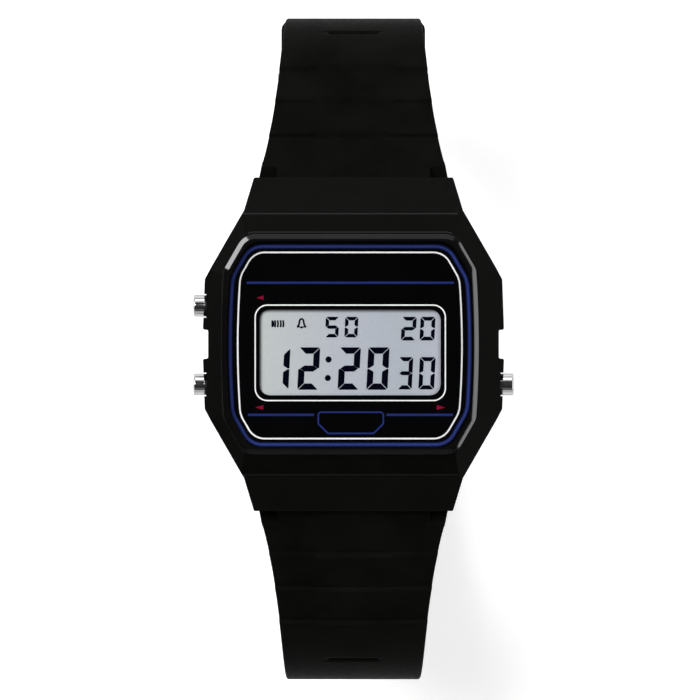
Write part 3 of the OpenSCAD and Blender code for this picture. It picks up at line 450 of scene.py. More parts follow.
def lcd_ground():
    """Grey liquid crystal ground: a slow drift from greenish to bluish grey, soft painted shade on the left and along
    the top where the mask's window edge would cast its shadow, and the reflector's fine grain."""
    made, tree, shader = material("lcd_ground", Specular_IOR_Level=0.3)
    split = add(tree, "SeparateXYZ", [(0, own_place(tree))])
    run = add(tree, "MapRange", [("Value", split.outputs["X"])], From_Min=-0.011, From_Max=0.011)
    drift = ramp(tree, run.outputs[0], [(0.0, (0.51, 0.542, 0.54)), (0.45, (0.448, 0.475, 0.533)),
                                        (0.78, (0.412, 0.45, 0.5)), (1.0, (0.455, 0.47, 0.545))])
    # Painted shade: the ground darkens towards the window's left and upper edges, as the mask's edge shadow would
    for axis, begin, end in (("X", -0.01077, -0.01029), ("Y", 0.00399, 0.00351)):
        rim = add(tree, "MapRange", [("Value", split.outputs[axis])], From_Min=begin, From_Max=end)
        shade = ramp(tree, rim.outputs[0], [(0.05, (0.12,) * 3), (0.3, (0.32,) * 3), (0.55, (0.6,) * 3),
                                            (0.8, (0.88,) * 3), (1.0, (1.0,) * 3)])
        drift = multiplied(tree, drift, shade)
    g = use_group(tree, GRAIN, Scale=7000.0, Pits=0.2)
    speck = ramp(tree, g.outputs["Speck"], [(0.3, (0.95,) * 3), (0.7, (1.0,) * 3)])
    tree.links.new(multiplied(tree, drift, speck), shader.inputs["Base Color"])
    tree.links.new(spread(tree, g.outputs["Speck"], 0.3, 0.4), shader.inputs["Roughness"])
    bump(tree, shader, g.outputs["Height"], 0.2, 0.000004)
    return made


def board_green():
    """Circuit board: copper tracks seen as paler lines under green lacquer."""
    made, tree, shader = material("board_green")
    tracks = add(tree, "TexBrick", [("Vector", own_place(tree))], Scale=700.0, Color1=(0.02, 0.16, 0.07, 1),
                 Color2=(0.025, 0.2, 0.085, 1), Mortar=(0.09, 0.34, 0.12, 1), Mortar_Size=0.03)
    tree.links.new(tracks.outputs["Color"], shader.inputs["Base Color"])
    g = use_group(tree, GRAIN, Scale=5000.0, Pits=0.3)
    tree.links.new(spread(tree, g.outputs["Speck"], 0.3, 0.45), shader.inputs["Roughness"])
    bump(tree, shader, tracks.outputs["Fac"], 0.4, 0.00001, 0.00005)
    return made


CASE_RESIN = resin("case_resin", (0.0015, 0.0015, 0.0012), 0.4, 5200.0, 0.000012, 0.00012, 0.05, rub=0.25)
BEZEL_RESIN = resin("bezel_resin", (0.002, 0.002, 0.002), 0.09, 9000.0, 0.0000006, 0.0, 0.5, pits=0.0)
STRAP_RESIN = resin("strap_resin", (0.0044, 0.0044, 0.0039), 0.48, 3600.0, 0.000015, 0.0, 0.003)
KEEPER_RESIN = resin("keeper_resin", (0.0016, 0.0016, 0.0016), 0.55, 3600.0, 0.000018, 0.00025, 0.05, rub=0.4)
MASK_FILM = resin("mask_film", (0.0004, 0.0004, 0.0007), 0.4, 9000.0, 0.0, 0.0, 0.0, pits=0.0)
FIGURE_INK = ink("figure_ink", (0.0006, 0.001, 0.006), 0.4)
WHITE_INK = ink("white_ink", (0.97, 0.97, 0.97))
RED_INK = ink("red_ink", (0.24, 0.004, 0.03))
# The ring's blue is a lighter copy of the bars' blue: painted light that offsets the bezel's shadow on the ring
LIT_RING_INK = ink("ring_ink_painted_light", (0.02, 0.034, 0.17), centre=(0.04, 0.062, 0.27))
BLUE_INK = ink("blue_ink", (0.014, 0.024, 0.13), centre=(0.022, 0.038, 0.2))
CRYSTAL = crystal_gloss()
LCD = lcd_ground()
BUTTON_METAL = metal("button_metal", (0.52, 0.52, 0.53), 0.11, (900.0, 9000.0, 9000.0), 0.0000006, 0.0, 0.03)
BUTTON_METAL.node_tree.nodes["Principled BSDF"].inputs["Specular Tint"].default_value = (0.45, 0.45, 0.46, 1)
BACK_STEEL = metal("back_steel", (0.47, 0.47, 0.48), 0.3, (500.0, 14000.0, 14000.0), 0.000005, 0.0001, 0.1)
BUCKLE_STEEL = metal("buckle_steel", (0.46, 0.46, 0.47), 0.24, (600.0, 12000.0, 12000.0), 0.000004, 0.00018, 0.08)
PIN_STEEL = metal("pin_steel", (0.44, 0.44, 0.46), 0.22, (400.0, 12000.0, 12000.0), 0.000003, 0.00005, 0.06)
SCREW_STEEL = metal("screw_steel", (0.42, 0.42, 0.43), 0.28, (9000.0, 900.0, 9000.0), 0.000003, 0.00006, 0.08)
CELL_STEEL = metal("cell_steel", (0.52, 0.52, 0.54), 0.3, (7000.0, 7000.0, 500.0), 0.000003, 0.0001, 0.06)
BRASS = metal("contact_brass", (0.72, 0.52, 0.2), 0.28, (9000.0, 700.0, 9000.0), 0.000003, 0.00005, 0.1)
COPPER = metal("coil_copper", (0.62, 0.24, 0.1), 0.32, (900.0, 900.0, 16000.0), 0.00001, 0.00005, 0.15)
SEAL = resin("seal_rubber", (0.012, 0.012, 0.012), 0.6, 4000.0, 0.00001, 0.0, 0.3)
MODULE = resin("module_plastic", (0.05, 0.05, 0.055), 0.45, 5000.0, 0.00001, 0.00008)
CONTACT_RUBBER = resin("contact_rubber", (0.18, 0.18, 0.2), 0.6, 9000.0, 0.00001, 0.0, 0.3)
REFLECTOR = resin("reflector_film", (0.6, 0.62, 0.62), 0.35, 8000.0, 0.000004, 0.0)
CHIP = resin("chip_epoxy", (0.01, 0.01, 0.01), 0.2, 3000.0, 0.000006, 0.00004)
SHEET_FILM = resin("insulator_film", (0.55, 0.36, 0.09), 0.35, 6000.0, 0.000003, 0.0)
LAMP = resin("lamp_lens", (0.75, 0.6, 0.2), 0.2, 6000.0, 0.000003, 0.00005)
BOARD = board_green()


def dress(piece, finish):
    piece.data.materials.clear()
    piece.data.materials.append(finish)


# Nodes that aren't named here are steel pins, clips and springs
FINISH = {
    "case_shell": CASE_RESIN, "dial_mask": MASK_FILM, "lcd_panel": LCD, "lcd_reflector": REFLECTOR,
    "module_frame": MODULE, "zebra_strips": CONTACT_RUBBER, "circuit_board": BOARD, "chip_cover": CHIP,
    "quartz_can": CELL_STEEL, "trimmer_capacitor": BRASS, "booster_coil": COPPER, "backlight_led": LAMP,
    "button_contacts": BRASS, "insulator_sheet": SHEET_FILM, "coin_cell": CELL_STEEL, "battery_tray": MODULE,
    "buzzer_disc": BRASS, "buzzer_spring": BRASS, "back_gasket": SEAL, "case_back": BACK_STEEL,
    "back_screws": SCREW_STEEL, "buckle_frame": BUCKLE_STEEL, "buckle_tongue": BUCKLE_STEEL,
    "keeper_loop": KEEPER_RESIN, "buckle_strap": STRAP_RESIN, "hole_strap": STRAP_RESIN, "crystal": CRYSTAL,
}
for name, side, y in BUTTONS:
    FINISH[name + "_button"] = BUTTON_METAL
    FINISH[name + "_seal"] = SEAL
for name, piece in nodes.items():
    dress(piece, FINISH.get(name, PIN_STEEL))


def place(piece, finish, body, slot, *stands_for):
    dress(piece, finish)
    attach(piece, body)
    if stands_for:
        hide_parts(*stands_for)


# The crystal and the bezel

def layers(paths):
    """Closed surface through closed paths of equal length, each given with its height, filled at both ends."""
    points = np.concatenate([np.column_stack([p, np.full(len(p), z)]) for p, z in paths])
    return points, capped(len(paths), len(paths[0][0]))


def shifted(path):
    return path + np.array([FACE_X, 0.0])


def bezel_path(grow=0.0):
    """The bezel's outline in the part, moved out by grow, its corners a little crisper."""
    return shifted(octagon(BEZEL_W + 2 * grow, BEZEL_L + 2 * grow, BEZEL_SLANT + grow, (2.2 + grow, 1.4 + grow)))


def crystal_path(grow=0.0):
    """The crystal's outline in the part, moved out by grow."""
    return shifted(octagon(28.1 + 2 * grow, 23.5 + 2 * grow, 15.8 + grow, (2.3 + grow, 4.3 + grow)))


def make_crystal():
    """Clear plate: its rim rises from the mask and rolls over a quarter circle of 0.01 mm to a flat top."""
    t = np.linspace(0, math.pi / 2, 5)
    rim = [(crystal_path(), 6.93)]
    rim += [(crystal_path(-0.01 * (1 - math.cos(a))), 8.37 + 0.01 * math.sin(a)) for a in t]
    points, faces = layers(rim)
    plate_piece = outward(mesh_piece("crystal_plate", points, faces))
    many = np.array([len(f) > 4 for f in faces])
    plate_piece.data.polygons.foreach_set("use_smooth", ~many)
    return plate_piece


def hood_height(path):
    """Height of the case's upper slopes at the points of a path: the lowest of the planes that fall from the bezel's
    foot, to the ends by END_FALL a millimetre, to the sides and along the slanted corners by SIDE_FALL."""
    x, y = np.abs(path[:, 0] - FACE_X), np.abs(path[:, 1])
    end = (y - BEZEL_L / 2) * END_FALL
    side = (x - BEZEL_W / 2) * SIDE_FALL
    corner = (x * math.cos(math.pi / 6) + y / 2 - BEZEL_SLANT) * SIDE_FALL
    return BEZEL_FOOT - np.maximum(np.maximum(end, side), corner)


def make_bezel():
    """Polished rim: the bezel's path moved in by a growing inset while the height climbs the outer wall, the domed
    slope and the flat, and then drops inside the crystal's path. The wall starts in a hollow of radius r: its height
    over the case is r - sqrt(r ** 2 - (r - reach) ** 2) for a reach of 0 to r."""
    rows = []
    r = 0.02
    for a in np.linspace(0, math.pi / 2, 6):
        path = bezel_path(0.012 + r - r * math.sin(a))
        rows.append(np.column_stack([path, hood_height(path) + r - r * math.cos(a) + 0.004]))
    n = len(path)
    slope = [(-0.012, 8.28), (-0.01, 8.312), (0.14, 8.374), (0.25, 8.42), (0.36, 8.461), (0.49, 8.505)]
    rows += [np.column_stack([bezel_path(-inset), np.full(n, z)]) for inset, z in slope]
    rows += [np.column_stack([crystal_path(0.015), np.full(n, z)]) for z in (8.505, 8.36)]
    ring = mesh_piece("bezel_ring", np.concatenate(rows), grid_faces(len(rows), n, wrap_n=True))
    return crisp(outward_up(ring), 14)


def hood_lines():
    """Fine polished lines that lie 0.012 mm over the case's slopes: one along the bezel's upper foot and one along
    each crease where the hood grows steeper."""
    foot = bezel_path(0.29)
    foot = foot[foot[:, 1] > 12.62]
    foot = foot[np.argsort(foot[:, 0])]
    across = np.linspace(-12.7, 11.9, 60)
    parts = []
    creases = [np.column_stack([across, np.full(len(across), y)]) for y in (14.9, -14.9)]
    for path, width in ((foot, 0.12), (creases[0], 0.15), (creases[1], 0.15)):
        points, faces = ribbon(path, width, 0.0, closed=False)
        points[:, 2] = hood_height(points[:, :2]) + 0.012
        parts.append((points, faces))
    return mesh_piece("hood_lines", *facing_up(parts))


def outward_up(piece):
    """Turns an open upper surface so that its faces look upwards."""
    normal = np.empty(len(piece.data.polygons) * 3)
    piece.data.polygons.foreach_get("normal", normal)
    if normal.reshape(-1, 3)[:, 2].sum() < 0:
        piece.data.flip_normals()
    return piece


def turned(profile, origin, axis, n=160):
    """Closed surface of revolution: each (distance, radius) of the profile carried round the axis from the origin,
    along +X or -X."""
    along, radius = np.array(profile, float).T
    t = np.linspace(0, 2 * math.pi, n, endpoint=False)
    x = origin[0] + axis * np.repeat(along[:, None], n, 1)
    y = origin[1] + radius[:, None] * np.cos(t)
    z = origin[2] + radius[:, None] * np.sin(t)
    return np.stack([x, y, z], -1).reshape(-1, 3), capped(len(along), n)


def make_button(name, side, y):
    """Turned push button: stem with its clip groove, head with its seal groove, a fine line cut near the case and a
    slightly domed end inside a rolled rim."""
    a = np.linspace(0, math.pi / 2, 9)
    stem, head = 0.6, 1.25
    profile = [(12.0, 0.001), (12.0, stem), (12.35, stem), (12.35, stem - 0.15), (12.55, stem - 0.15), (12.55, stem),
               (15.4, stem), (15.4, head), (15.7, head), (15.7, 0.95), (16.3, 0.95), (16.3, head),
               (16.94, head), (16.98, head - 0.05), (17.06, head - 0.05), (17.1, head), (18.08, head), (18.1, head)]
    profile += [(18.12 + 0.2 * math.sin(t), head - 0.2 + 0.2 * math.cos(t)) for t in a]
    profile += [(18.31, 0.98), (18.3, 0.95), (18.32, 0.7), (18.335, 0.4), (18.34, 0.15), (18.34, 0.001)]
    return crisp(outward(mesh_piece(name, *turned(profile, (0, y, BUTTON_Z), side))), 35)


for name, side, y in BUTTONS:
    button = name + "_button"
    place(make_button(button + "_turned", side, y), BUTTON_METAL, button, "button_metal", button)


def spring_wire(name, start, end, y, z, radius, wire, turns, sides=8):
    """Coil spring along X: for u from 0 to 1 its wire's middle goes round 2 * pi * turns * u at the radius while x
    runs from start to end, and each section is a ring of the wire's own radius."""
    way = math.copysign(1.0, end - start)
    u = np.linspace(0, 1, int(turns * 24) + 1)[:, None]
    t = 2 * math.pi * turns * u
    a = np.linspace(0, 2 * math.pi, sides, endpoint=False)[None, :]
    out = radius + wire * np.cos(a)
    x = start + way * (wire + (abs(end - start) - 2 * wire) * u + wire * np.sin(a))
    points = np.stack([x, y + out * np.cos(t), z + out * np.sin(t)], -1)
    return outward(mesh_piece(name, points.reshape(-1, 3), capped(len(u), sides)))


def squashed(piece, node):
    """A spring dressed in pin steel and fixed to the case in place of its node, with a mesh of its own."""
    place(piece, PIN_STEEL, "case", "steel", node)
    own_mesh(piece)


for name, side, y in BUTTONS:
    seat = SPRING_SEAT * side
    wire = spring_wire(name + "_spring_wire", seat, 15.39 * side, y, BUTTON_Z, 0.85, 0.1, 3)
    squashed(wire, name + "_spring")
for name, way in (("upper", 1), ("lower", -1)):
    for hand, side in (("left", -1), ("right", 1)):
        y = BAR_Y * way
        wire = spring_wire(name + "_bar_spring_" + hand, 0.0, 7.77 * side, y, BAR_Z, 0.34, 0.08, 6)
        squashed(wire, name + "_bar_spring")

place(make_crystal(), CRYSTAL, "case", "crystal", "crystal")
place(make_bezel(), BEZEL_RESIN, "case", "case_resin")
place(hood_lines(), BEZEL_RESIN, "case", "case_resin")


# The print on the mask

def two_tone(name, parts, low=0.0, high=1.0):
    """Flat lines whose V runs from low to high across them."""
    points, faces = facing_up(parts)
    k = np.arange(len(points))
    return mesh_piece(name, points, faces, False, np.column_stack([k / 2.0, np.where(k % 2, high, low)]))


def blue_ring():
    path = shifted(octagon(27.34, 22.6, 15.4, (2.3, 2.9), skew=0.07)) + np.array([-0.015, PRINT_Y])
    return two_tone("blue_ring", [ribbon(path, 0.52, PRINT_Z)])


def blue_bars():
    parts = []
    for x0, x1, y in ((-12.2, 11.45, 7.02), (-12.05, -4.5, -8.06), (3.75, 11.35, -8.06)):
        parts.append(ribbon(np.column_stack([np.linspace(x0, x1, 30), np.full(30, y)]), 0.36, PRINT_Z, closed=False))
    return two_tone("blue_bars", parts)


def plaque_line():
    """Outline of the plaque between the lower bars, its two lower corners cut."""
    x0, x1, y0, y1, cut = -4.02, 3.4, -10.18, -7.76, 1.1
    path = rounded([(x1, y1), (x1, y0 + cut), (x1 - cut, y0), (x0 + cut, y0), (x0, y0 + cut), (x0, y1)],
                   [0.35, 0.3, 0.3, 0.3, 0.3, 0.35], 8)
    return two_tone("plaque_line", [ribbon(path, 0.2, PRINT_Z)], 0.2, 0.8)


def white_lines():
    """The octagon round the face and the frame of the window."""
    ring = shifted(octagon(25.6, 21.26, 14.7, (2.1, 2.4), skew=0.08)) + np.array([-0.02, PRINT_Y])
    window = box_path(21.71, 10.9, 1.4) + np.array([-0.37, -0.98])
    parts = [ribbon(ring, 0.185, PRINT_Z), ribbon(window, 0.145, PRINT_Z)]
    return mesh_piece("white_lines", *facing_up(parts), False)


def red_marks():
    """Three small arrowheads that point at the buttons."""
    parts = []
    for tip, back, y in ((-11.06, -10.27, 5.31), (-11.24, -10.3, -7.22), (10.47, 9.5, -7.22)):
        parts.append(plate([(tip, y), (back, y - 0.27), (back, y + 0.27)], PRINT_Z))
    return mesh_piece("red_marks", *facing_up(parts), False)


place(blue_ring(), LIT_RING_INK, "case", "mask_print")
place(blue_bars(), BLUE_INK, "case", "mask_print")
place(plaque_line(), BLUE_INK, "case", "mask_print")
place(white_lines(), WHITE_INK, "case", "mask_print")
place(red_marks(), RED_INK, "case", "mask_print")


# The display's figures

SEGMENTS = {"0": "abcdef", "1": "bc", "2": "abged", "3": "abgcd", "5": "afgcd"}
LEAN = 0.05


def figure(text, x0, y0, x1, y1, stroke):
    """One seven-segment figure in the box from (x0, y0) to (x1, y1). With w and h its width and height and t the
    stroke, a bar runs w long with ends cut at 45 degrees, the middle bar is a long hexagon, and the uprights end in
    points; every point then leans by x + LEAN * y."""
    h, t, g = y1 - y0, stroke, 0.05
    w = (x1 - x0) - LEAN * h
    m = h / 2
    shapes = {
        "a": [(g, h), (w - g, h), (w - t - g, h - t), (t + g, h - t)],
        "d": [(g, 0), (t + g, t), (w - t - g, t), (w - g, 0)],
        "g": [(0.25 * t, m), (0.95 * t, m + 0.48 * t), (w - 0.95 * t, m + 0.48 * t), (w - 0.25 * t, m),
              (w - 0.95 * t, m - 0.48 * t), (0.95 * t, m - 0.48 * t)],
        "b": [(w, h - g), (w, m + g), (w - 0.3 * t, m + g), (w - t, m + 0.45 * t + g), (w - t, h - t - g)],
        "c": [(w, m - g), (w, g), (w - t, t + g), (w - t, m - 0.45 * t - g), (w - 0.3 * t, m - g)],
        "f": [(0, h - g), (t, h - t - g), (t, m + 0.45 * t + g), (0.3 * t, m + g), (0, m + g)],
        "e": [(0, m - g), (0.3 * t, m - g), (t, m - 0.45 * t - g), (t, t + g), (0, g)],
    }
    parts = []
    for key in SEGMENTS[text]:
        p = rounded(shapes[key], 0.05, 3)
        parts.append(plate(np.column_stack([x0 + p[:, 0] + LEAN * p[:, 1], y0 + p[:, 1]]), FIGURE_Z))
    return parts


def disc(x, y, r, z):
    t = np.linspace(0, 2 * math.pi, 28, endpoint=False)
    return plate(np.column_stack([x + r * np.cos(t), y + r * np.sin(t)]), z)


def display_figures():
    """Time, seconds and date, the colon, the chime's bars and the bell, whose half width at u of its height is
    0.26 * sqrt(1 - u ** 5) + 0.24 * (1 - u) ** 5."""
    z = FIGURE_Z
    parts = []
    rows = (
        ("1", -9.92, -5.18, -7.2, -0.45, 0.7), ("2", -6.42, -5.2, -3.8, -0.36, 0.72),
        ("2", -1.82, -5.2, 0.84, -0.36, 0.72), ("0", 1.46, -5.2, 4.12, -0.36, 0.72),
        ("3", 5.0, -5.16, 6.83, -1.47, 0.47), ("0", 7.4, -5.16, 9.38, -1.47, 0.47),
        ("5", -3.27, 0.78, -1.62, 3.13, 0.4), ("0", -1.05, 0.78, 0.56, 3.13, 0.4),
        ("2", 5.4, 0.43, 7.22, 3.13, 0.43), ("0", 7.54, 0.43, 9.37, 3.13, 0.43),
    )
    for text, x0, y0, x1, y1, stroke in rows:
        parts += figure(text, x0, y0, x1, y1, stroke)
    parts += [disc(-2.85, -1.74, 0.35, z), disc(-2.93, -3.86, 0.35, z)]
    rise = np.linspace(-0.39, 0.39, 11)
    round_end = np.sqrt(1 - (rise / 0.4) ** 2)
    edge = np.column_stack([-9.376 + 0.33 * round_end ** 0.5, 2.338 + rise])
    parts.append(plate(np.concatenate([edge, [(-9.376, 2.728), (-9.376, 1.948)]]), z))
    for x in (-9.02, -8.71, -8.38, -8.09):
        bar = np.column_stack([x + 0.09 * round_end, 2.338 + rise])
        parts.append(ribbon(bar, 0.2, z, closed=False))
    u = np.sin(np.linspace(0, math.pi / 2, 24))
    half = 0.26 * np.sqrt(1 - u ** 5) + 0.24 * (1 - u) ** 5
    side = np.column_stack([half, 1.98 + 0.9 * u])
    bell = np.concatenate([side * (-1, 1), side[-2::-1]]) + np.array([-5.93, 0.0])
    parts.append(ribbon(bell, 0.21, z, closed=False))
    parts.append(plate([(-6.47, 1.9), (-5.39, 1.9), (-5.39, 2.04), (-6.47, 2.04)], z))
    parts.append(plate([(-6.1, 1.92), (-5.93, 1.74), (-5.76, 1.92)], z))
    return mesh_piece("display_figures", *facing_up(parts), False)


place(display_figures(), FIGURE_INK, "case", "lcd_glass")


# The strap

def half_width(s):
    """Half the strap's width at s: 8.45 - 0.0155 * s + 2.45 * exp(-(s - 3.05) / 9), and never under 7.5."""
    return np.maximum(7.5, 8.45 - 0.0155 * s + 2.45 * np.exp(-(s - 3.05) / 9))


def strap_frame(half, s):
    """Point on the line through the bars and the outward direction at s: straight from the bar at 20 degrees down,
    round the first bend to plumb, and round the second bend for a further quarter turn."""
    bend, sweep = half["bend"], half["sweep"]
    first = STRAIGHT + math.radians(90 - DROP) * bend
    second = first + math.radians(90) * sweep
    a = np.radians(np.where(s < STRAIGHT, DROP, np.where(
        s < first, DROP + np.degrees((s - STRAIGHT) / bend),
        np.where(s < second, 90 + np.degrees((s - first) / sweep), 180.0))))
    out = np.stack([np.sin(a), np.cos(a)], -1)
    drop = math.radians(DROP)
    begin = np.array([BAR_Y, BAR_Z])
    along = np.array([math.cos(drop), -math.sin(drop)])
    c1 = begin + STRAIGHT * along - bend * np.array([math.sin(drop), math.cos(drop)])
    c2 = c1 + (bend - sweep) * np.array([1.0, 0.0])
    run = np.minimum(s, STRAIGHT)[:, None] * along + begin
    tail = (s - second)[:, None] * np.array([-1.0, 0.0])
    p = np.where((s < STRAIGHT)[:, None], run, np.where(
        (s < first)[:, None], c1 + bend * out, c2 + sweep * out + np.where((s > second)[:, None], tail, 0.0)))
    return p, out


def slat_height(half, s):
    """Height of the outer face. Between the steps it is the chord that falls by SLAT_FALL to the next step's foot, so
    the slats overlap like boards; past the last step it is even."""
    height = np.full(len(s), OVER)
    starts = [STRAIGHT] + [q + 0.3 for q in STEPS[:-1]]
    for a, b in zip(starts, STEPS):
        ends, out = strap_frame(half, np.array([a, b]))
        tips = ends + out * np.array([[OVER], [OVER - SLAT_FALL]])
        here = (s >= a) & (s <= b)
        p, n = strap_frame(half, s[here])
        d = tips[1] - tips[0]
        across = np.array([-d[1], d[0]])
        height[here] = ((tips[0] - p) @ across) / (n @ across)
        rise = (s > b) & (s < b + SLAT_RISE)
        height[rise] = OVER - SLAT_FALL + SLAT_FALL * (s[rise] - b) / SLAT_RISE
    return height


def stations(half, tail):
    """Stations along the strap: close together at its ends, steps and nick."""
    length = half["length"]
    marks = [np.linspace(3.2, length - 5, int(length * 1.6))]
    marks.append(-BARREL_R * np.cos(np.linspace(0, math.pi / 2, 12)))
    marks.append(np.linspace(0, 3.2, 14))
    for q in STEPS:
        marks.append(q + np.array([-0.02, 0, 0.06, 0.12, 0.2, 0.28, 0.3, 0.4, 0.5, 0.62]))
    marks.append(np.linspace(25.5, 27.1, 17))
    if tail:
        marks.append(length - TAIL + TAIL * np.sin(np.linspace(0, math.pi / 2, 26)))
    else:
        marks.append(np.linspace(length - 5, length, 20))
        marks.append(length + BUCKLE_R * np.sin(np.linspace(0.02, math.pi / 2, 12)))
    s = np.unique(np.round(np.concatenate(marks), 4))
    return s[(s > -1.4999) & (s < length + (0.0 if tail else 1.3999) + 1e-6)]


def strap_surface(half, tail):
    """Closed skin of one strap half. At each station s, a section of one fixed number of points runs across the outer
    face, round a 0.3 mm corner, down the side and back across the inner face; a point is path(s) + out(s) * n with
    its own x. Barrels close the section to a point at each end, and the tail narrows to a blunt tip."""
    s = stations(half, tail)
    length = half["length"]
    p, out = strap_frame(half, s)
    w = np.where(s < 4.0, BARREL_W, half_width(s))
    if tail:
        q = np.clip((s - (length - TAIL)) / TAIL, 0, 1)
        w = w * (1 - 0.52 * q ** 2.2)
    top = slat_height(half, s)
    low = np.full(len(s), -UNDER)
    start = np.sqrt(np.clip(BARREL_R ** 2 - s ** 2, 0, None))
    top = np.where(s < 0, start, np.maximum(top, np.where(s < BARREL_R, start, 0)))
    low = np.where(s < 0, -start, low)
    if not tail:
        end = np.sqrt(np.clip(BUCKLE_R ** 2 - (s - length) ** 2, 0, None))
        top = np.where(s > length, end, np.maximum(top, np.where(s > length - BUCKLE_R, end, 0)))
        low = np.where(s > length, -end, low)
    else:
        roll = np.clip((s - (length - TIP)) / TIP, 0, 1)
        squeeze = np.sqrt(np.clip(1 - roll ** 2, 0.0, 1))
        middle = (OVER - UNDER) / 2
        top = middle + (top - middle) * squeeze
        low = middle + (low - middle) * squeeze
    cut = np.minimum(0.3, 0.45 * (top - low))
    a = np.linspace(0, math.pi / 2, 6)
    flat = np.concatenate([np.linspace(-1, -0.62, 8)[1:], np.linspace(-0.6, 0.6, 25), np.linspace(0.62, 1, 8)[:-1]])
    x_flat = flat[None, :] * (w - cut)[:, None]
    ramp_edge = np.full(len(s), RAMP_W)
    for q in STEPS:
        here = (s >= q) & (s <= q + RAMP_L)
        ramp_edge[here] = RAMP_W - (s[here] - q)
    n_flat = np.repeat(top[:, None], len(flat), 1)
    for q in STEPS:
        here = (s >= q) & (s < q + RAMP_L)
        height = OVER - RAMP_D + RAMP_D * (s[here] - q) / RAMP_L
        inside = np.abs(x_flat[here]) < ramp_edge[here][:, None]
        n_flat[here] = np.where(inside, np.minimum(height[:, None], n_flat[here]), n_flat[here])
    dip = np.where((s > 25.6) & (s <= 26.5), (s - 25.6) / 0.9, np.where((s > 26.5) & (s < 26.95),
                                                                          (26.95 - s) / 0.45, 0)) * 0.28
    n_flat -= np.where(np.abs(x_flat) < 2.9 - 0.4 * dip[:, None], dip[:, None], 0)
    right_x = (w - cut)[:, None] + cut[:, None] * np.sin(a)
    right_n = (top - cut)[:, None] + cut[:, None] * np.cos(a)
    low_x = (w - cut)[:, None] + cut[:, None] * np.cos(a)
    low_n = (low + cut)[:, None] - cut[:, None] * np.sin(a)
    back = np.linspace(1, -1, 21)[None, 1:-1]
    x = np.concatenate([x_flat, right_x, low_x, back * (w - cut)[:, None], -low_x[:, ::-1], -right_x[:, ::-1]], 1)
    n = np.concatenate([n_flat, right_n, low_n, np.repeat(low[:, None], 19, 1), low_n[:, ::-1], right_n[:, ::-1]], 1)
    points = np.stack([x, p[:, None, 0] + out[:, None, 0] * n, p[:, None, 1] + out[:, None, 1] * n], -1)
    return points.reshape(-1, 3), capped(*x.shape)


def shoulder_blocks(half):
    """The two low shoulders beside the case: a section from the case's end to the strap, whose top is the pocket's
    floor and climbs by 1.15 for each millimetre of s."""
    s = np.linspace(2.5, 4.6, 22)
    p, out = strap_frame(half, s)
    w = half_width(np.maximum(s, 3.05))
    climb = np.clip(-0.8 + 1.15 * (s - 2.6), -0.8, 0.84)
    parts = []
    for side in (-1, 1):
        rows = []
        for n, x in ((climb, w - 0.14), (climb - 0.14, w), (-1.36, w), (-1.5, w - 0.14), (-1.5, 8.2), (climb, 8.2)):
            n, x = np.broadcast_to(n, s.shape), np.broadcast_to(x, s.shape)
            rows.append(np.stack([side * x, p[:, 0] + out[:, 0] * n, p[:, 1] + out[:, 1] * n], -1))
        grid = np.stack(rows, 1)
        grid[..., 1] = np.maximum(grid[..., 1], CASE_END)
        parts.append((grid.reshape(-1, 3), capped(*grid.shape[:2])))
    return join(parts)


def tube(start, end, radius, n=40):
    """Closed cylinder between two points, from circles square to its axis."""
    start, end = np.asarray(start, float), np.asarray(end, float)
    axis = (end - start) / np.linalg.norm(end - start)
    a = np.cross(axis, [0.31, 0.2, 0.93])
    a /= np.linalg.norm(a)
    b = np.cross(axis, a)
    t = np.linspace(0, 2 * math.pi, n, endpoint=False)[:, None]
    ring = radius * (np.cos(t) * a + np.sin(t) * b)
    return np.concatenate([start + ring, end + ring]), capped(2, n)


def block(corners):
    """Closed six-sided block from its eight corners, four of one end and then four of the other."""
    return np.asarray(corners, float), [[0, 1, 2, 3], [7, 6, 5, 4], [0, 4, 5, 1], [1, 5, 6, 2], [2, 6, 7, 3],
                                        [3, 7, 4, 0]]


def make_strap(name, half, tail):
    """One strap half with its bar bore and either the holes or the buckle's bore and slot cut out, and its two
    shoulders. Both are shaped at the upper end of the case; the hole half is mirrored to the lower end."""
    points, faces = strap_surface(half, tail)
    piece = outward(mesh_piece(name, points, faces))
    cuts = [tube((-20, BAR_Y, BAR_Z), (20, BAR_Y, BAR_Z), BAR_BORE)]
    if tail:
        for k in range(HOLES):
            p, out = strap_frame(half, np.array([half["length"] - FIRST_HOLE - HOLE_STEP * k]))
            a = np.array([0, *(p[0] - out[0] * 3)])
            b = np.array([0, *(p[0] + out[0] * 3)])
            cuts.append(tube(a, b, HOLE_R))
    else:
        p, out = strap_frame(half, np.array([half["length"]]))
        along = np.array([out[0][1], -out[0][0]])
        cuts.append(tube((-20, *p[0]), (20, *p[0]), BAR_BORE))
        corners = []
        for x in (-1.05, 1.05):
            for s, n in ((-2.1, -4), (4, -4), (4, 4), (-2.1, 4)):
                corners.append((x, *(p[0] + along * s + out[0] * n)))
        cuts.append(block(corners))
    made = []
    for points, faces in cuts:
        tool = outward(mesh_piece("cutter", points, faces, False))
        made.append(tool)
        modifier = piece.modifiers.new("cut", "BOOLEAN")
        modifier.operation, modifier.object, modifier.solver = "DIFFERENCE", tool, "EXACT"
    finished(piece)
    for tool in made:
        bpy.data.objects.remove(tool)
    ears = outward(mesh_piece(name + "_shoulders", *shoulder_blocks(half)))
    if tail:
        for each in (piece, ears):
            each.data.transform(Matrix.Diagonal((1, -1, 1, 1)))
            each.data.flip_normals()
    return piece, ears


for name, half, tail, body in (("buckle_strap", UPPER, False, "buckle_half"), ("hole_strap", LOWER, True, "hole_half")):
    strap, ears = make_strap(name + "_skin", half, tail)
    place(strap, STRAP_RESIN, body, "strap_resin", name)
    place(ears, STRAP_RESIN, body, "strap_resin", name)
    for each in (strap, ears):
        each.data.polygons.foreach_set("use_smooth", np.ones(len(each.data.polygons), bool))
        crisp(each, 32)


# Floor, background, lamps and camera

# The hole half's tail swings this far below its place at rest
FLOOR_DROP = 7.3


